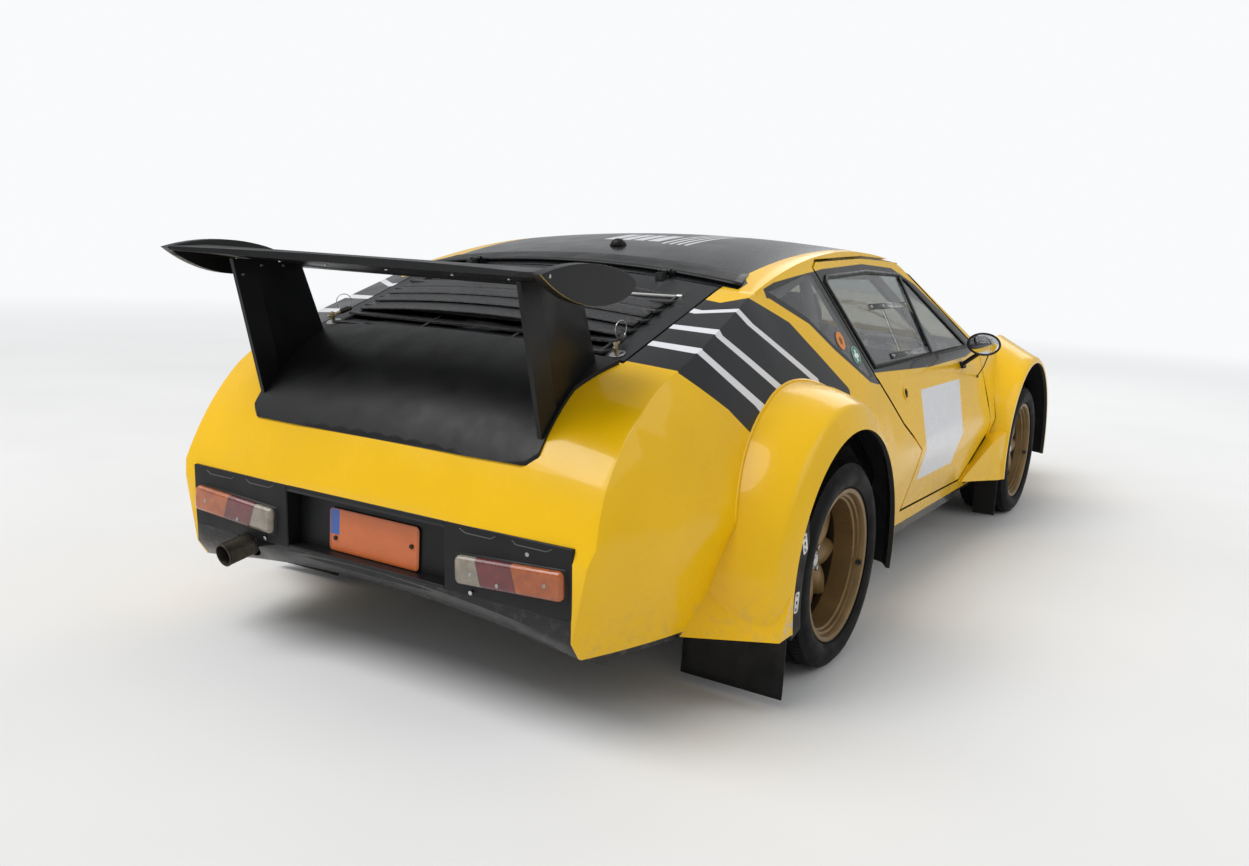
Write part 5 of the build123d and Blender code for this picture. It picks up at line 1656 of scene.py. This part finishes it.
class RALLY_OT_front(CarOperator, bpy.types.Operator):
    """Dress the lamps under their clear cover, the chin spoiler, lid pins and screen wipers."""

    bl_idname = "rally.front"
    bl_label = "Front"

    def execute(self, context):
        shell("lamp_cover", "lamp_clear", angle=20)
        shell("headlamps", "lamp_reflector", 0.003)
        shell("front_spoiler", "satin_black", 0.003)
        self.lenses()
        self.lid_pins()
        self.wipers()
        self.markers()
        return {"FINISHED"}

    def lenses(self):
        """Ribbed glass and a black rubber surround in each of the six lamps."""
        low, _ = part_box("headlamps")
        mesh = bmesh.new()
        for x in (-0.460, -0.290, -0.120, 0.120, 0.290, 0.460):
            y = FRONT_AXLE - 0.8985
            add_box(mesh, (x, y, 0.472), (0.124, 0.005, 0.062), bevel=0.0015, index=0)
            for rib in range(9):
                add_box(mesh, (x - 0.052 + rib * 0.013, y - 0.003, 0.472), (0.004, 0.003, 0.056), index=0)
            add_box(mesh, (x, y - 0.001, 0.472), (0.136, 0.008, 0.074), bevel=0.002, index=1)
        for face in [f for f in mesh.faces if f.material_index == 1]:
            face.material_index = 1
        new_object("headlamp_glass", mesh, ["lamp_clear", "seal_rubber"], "root")

    def lid_pins(self):
        tree = surface("front_lid")
        for hand, side in SIDES:
            mesh = bmesh.new()
            foot = dropped(tree, (side * 0.38, FRONT_AXLE - 0.545, 1.4), (0, 0, -1))
            add_pin(mesh, foot - Vector((0, 0, 0.001)), (0, -0.15, 1), (-side, 0.3, 0))
            new_object(
                f"front_lid_pin_{hand}", mesh, ["bright_steel", "brass_steel", "lock_black"], "front_lid",
                angle=40)

    def wipers(self):
        tree = surface("windscreen", "front_body", "roof")
        for hand, start, end in (("left", 0.16, 0.52), ("right", -0.40, -0.04)):
            mesh = bmesh.new()
            down = (0, 0.35, -1)
            pivot = dropped(tree, (start - 0.02, rear(-1.93), 1.4), (0, 0, -1), 0.004)
            add_rod(mesh, pivot - Vector((0, 0, 0.012)), pivot + Vector((0, 0, 0.012)), 0.011, 20, bevel=0.002)
            blade = [dropped(tree, (x, rear(y), 1.5), down, 0.009) for x, y in ((start + 0.1, -1.86), (end, -1.84))]
            middle_point = (blade[0] + blade[1]) / 2
            add_line(mesh, [pivot + Vector((0, 0, 0.012)), (pivot + middle_point) / 2 + Vector((0, 0, 0.02)), middle_point], 0.0045)
            add_line(mesh, [blade[0], middle_point, blade[1]], 0.0038)
            new_object(f"wiper_{hand}", mesh, ["seal_rubber"], "root")

    def markers(self):
        """Amber side lamps on the nose, ahead of the front arches."""
        tree = surface("front_body")
        for hand, side in SIDES:
            mesh = bmesh.new()
            spot = dropped(tree, (side * 1.4, FRONT_AXLE - 0.62, 0.40), (-side, 0, 0))
            normal = (dropped(tree, (side * 1.4, FRONT_AXLE - 0.62, 0.40), (-side, 0, 0), 0.01) - spot).normalized()
            turn = Vector((1, 0, 0)).rotation_difference(normal * side).to_matrix()
            add_box(mesh, spot + normal * 0.004, (0.012, 0.066, 0.03), turn, 0.003, 0)
            new_object(f"side_marker_{hand}", mesh, ["tail_lens"], "root")


# Cabin


def cushion(name, centre, size, turn):
    """A crowned pad whose edges pull in between its corners, with a sewn line across it."""
    mesh = bmesh.new()
    bmesh.ops.create_cube(mesh, size=2.0)
    bmesh.ops.subdivide_edges(mesh, edges=list(mesh.edges), cuts=7, use_grid_fill=True)
    for vert in mesh.verts:
        u, v, w = vert.co
        crown = (1 - 0.55 * abs(u) ** 2.6) * (1 - 0.55 * abs(v) ** 2.6)
        pull = 1 - 0.05 * (1 - u ** 2) if abs(v) > 0.99 else 1 - 0.02 * (1 - v ** 2) if abs(u) > 0.99 else 1.0
        seam = 0.86 if abs(abs(v) - 0.25) < 0.01 and abs(u) < 0.99 else 1.0
        height = w * (0.55 + 0.45 * crown * seam) if w > 0 else w
        vert.co = Vector((u * size[0] * pull, v * size[1] * pull, height * size[2]))
    mesh.transform(Matrix.Translation(centre) @ turn.to_4x4())
    piece = new_object(name, mesh, ["seat_cloth"], "root", subdivide=1, angle=80)
    return piece


class RALLY_OT_cabin(CarOperator, bpy.types.Operator):
    """Dress the bucket seats and their cushions, the cage, dashboard and steering wheel."""

    bl_idname = "rally.cabin"
    bl_label = "Cabin"

    def execute(self, context):
        shell("seats", "seat_shell", 0.012)
        shell("roll_cage", "cage_paint", angle=40)
        shell("steering_wheel", "dash_vinyl", 0.001, angle=40)
        shell("dashboard", "dash_vinyl", 0.006)
        for hand, side in SIDES:
            x = side * 0.330
            base = Vector((x, rear(-0.955), 0.384))
            back = Vector((x, rear(-0.742), 0.655))
            cushion(f"seat_base_{hand}", base, (0.155, 0.135, 0.028), Matrix.Rotation(radians(-9), 3, "X"))
            cushion(f"seat_back_{hand}", back, (0.150, 0.200, 0.026), Matrix.Rotation(radians(79), 3, "X"))
        self.dials()
        return {"FINISHED"}

    def dials(self):
        mesh = bmesh.new()
        for x, radius in ((0.26, 0.042), (0.38, 0.042), (0.05, 0.026), (-0.02, 0.026), (-0.09, 0.026)):
            z = 0.722 if x > 0.1 else 0.668
            y = rear(-1.528) if x > 0.1 else rear(-1.541)
            spot = Vector((x, y, z))
            add_line(mesh, ring(spot, radius, (0, 1, 0.1), 32), 0.003, True, 0)
            add_rod(mesh, spot - Vector((0, 0.006, 0)), spot, radius, 32, 1)
        new_object("dash_dials", mesh, ["bright_steel", "dark_bore"], "root")


class RALLY_OT_underside(CarOperator, bpy.types.Operator):
    """Give the floor, liners, suspension, knuckles and engine their finishes."""

    bl_idname = "rally.underside"
    bl_label = "Underside"

    def execute(self, context):
        finishes = {
            "floor_pan": "tub_paint", "front_liners": "tub_paint", "rear_liners": "tub_paint", "engine": "cast_metal",
            "front_suspension": "chassis_steel", "rear_suspension": "chassis_steel", "knuckle_left": "cast_metal",
            "knuckle_right": "cast_metal",
        }
        for node, label in finishes.items():
            coat_node(node, label)
        return {"FINISHED"}


class RALLY_PT_panel(bpy.types.Panel):
    """Lists the car's operators in the sidebar of the 3D view."""

    bl_label = "Rally car"
    bl_idname = "RALLY_PT_panel"
    bl_space_type = "VIEW_3D"
    bl_region_type = "UI"
    bl_category = "Rally car"

    def draw(self, context):
        column = self.layout.column()
        for operator in OPERATORS:
            column.operator(operator.bl_idname)


OPERATORS = (
    RALLY_OT_finishes, RALLY_OT_stage, RALLY_OT_panels, RALLY_OT_roof_trim, RALLY_OT_engine_lid, RALLY_OT_tail,
    RALLY_OT_wing, RALLY_OT_arches, RALLY_OT_glazing, RALLY_OT_doors, RALLY_OT_wheels, RALLY_OT_front, RALLY_OT_cabin,
    RALLY_OT_underside,
)
CLASSES = (CarPaint, CarSizes, *OPERATORS, RALLY_PT_panel)


def register():
    for entry in CLASSES:
        bpy.utils.register_class(entry)
    bpy.types.Scene.rally_paint = bpy.props.PointerProperty(type=CarPaint)
    bpy.types.Scene.rally_sizes = bpy.props.PointerProperty(type=CarSizes)


def unregister():
    del bpy.types.Scene.rally_paint
    del bpy.types.Scene.rally_sizes
    for entry in reversed(CLASSES):
        bpy.utils.unregister_class(entry)


def main():
    register()
    for operator in OPERATORS:
        group, name = operator.bl_idname.split(".")
        getattr(getattr(bpy.ops, group), name)()


if __name__ == "__main__":
    main()
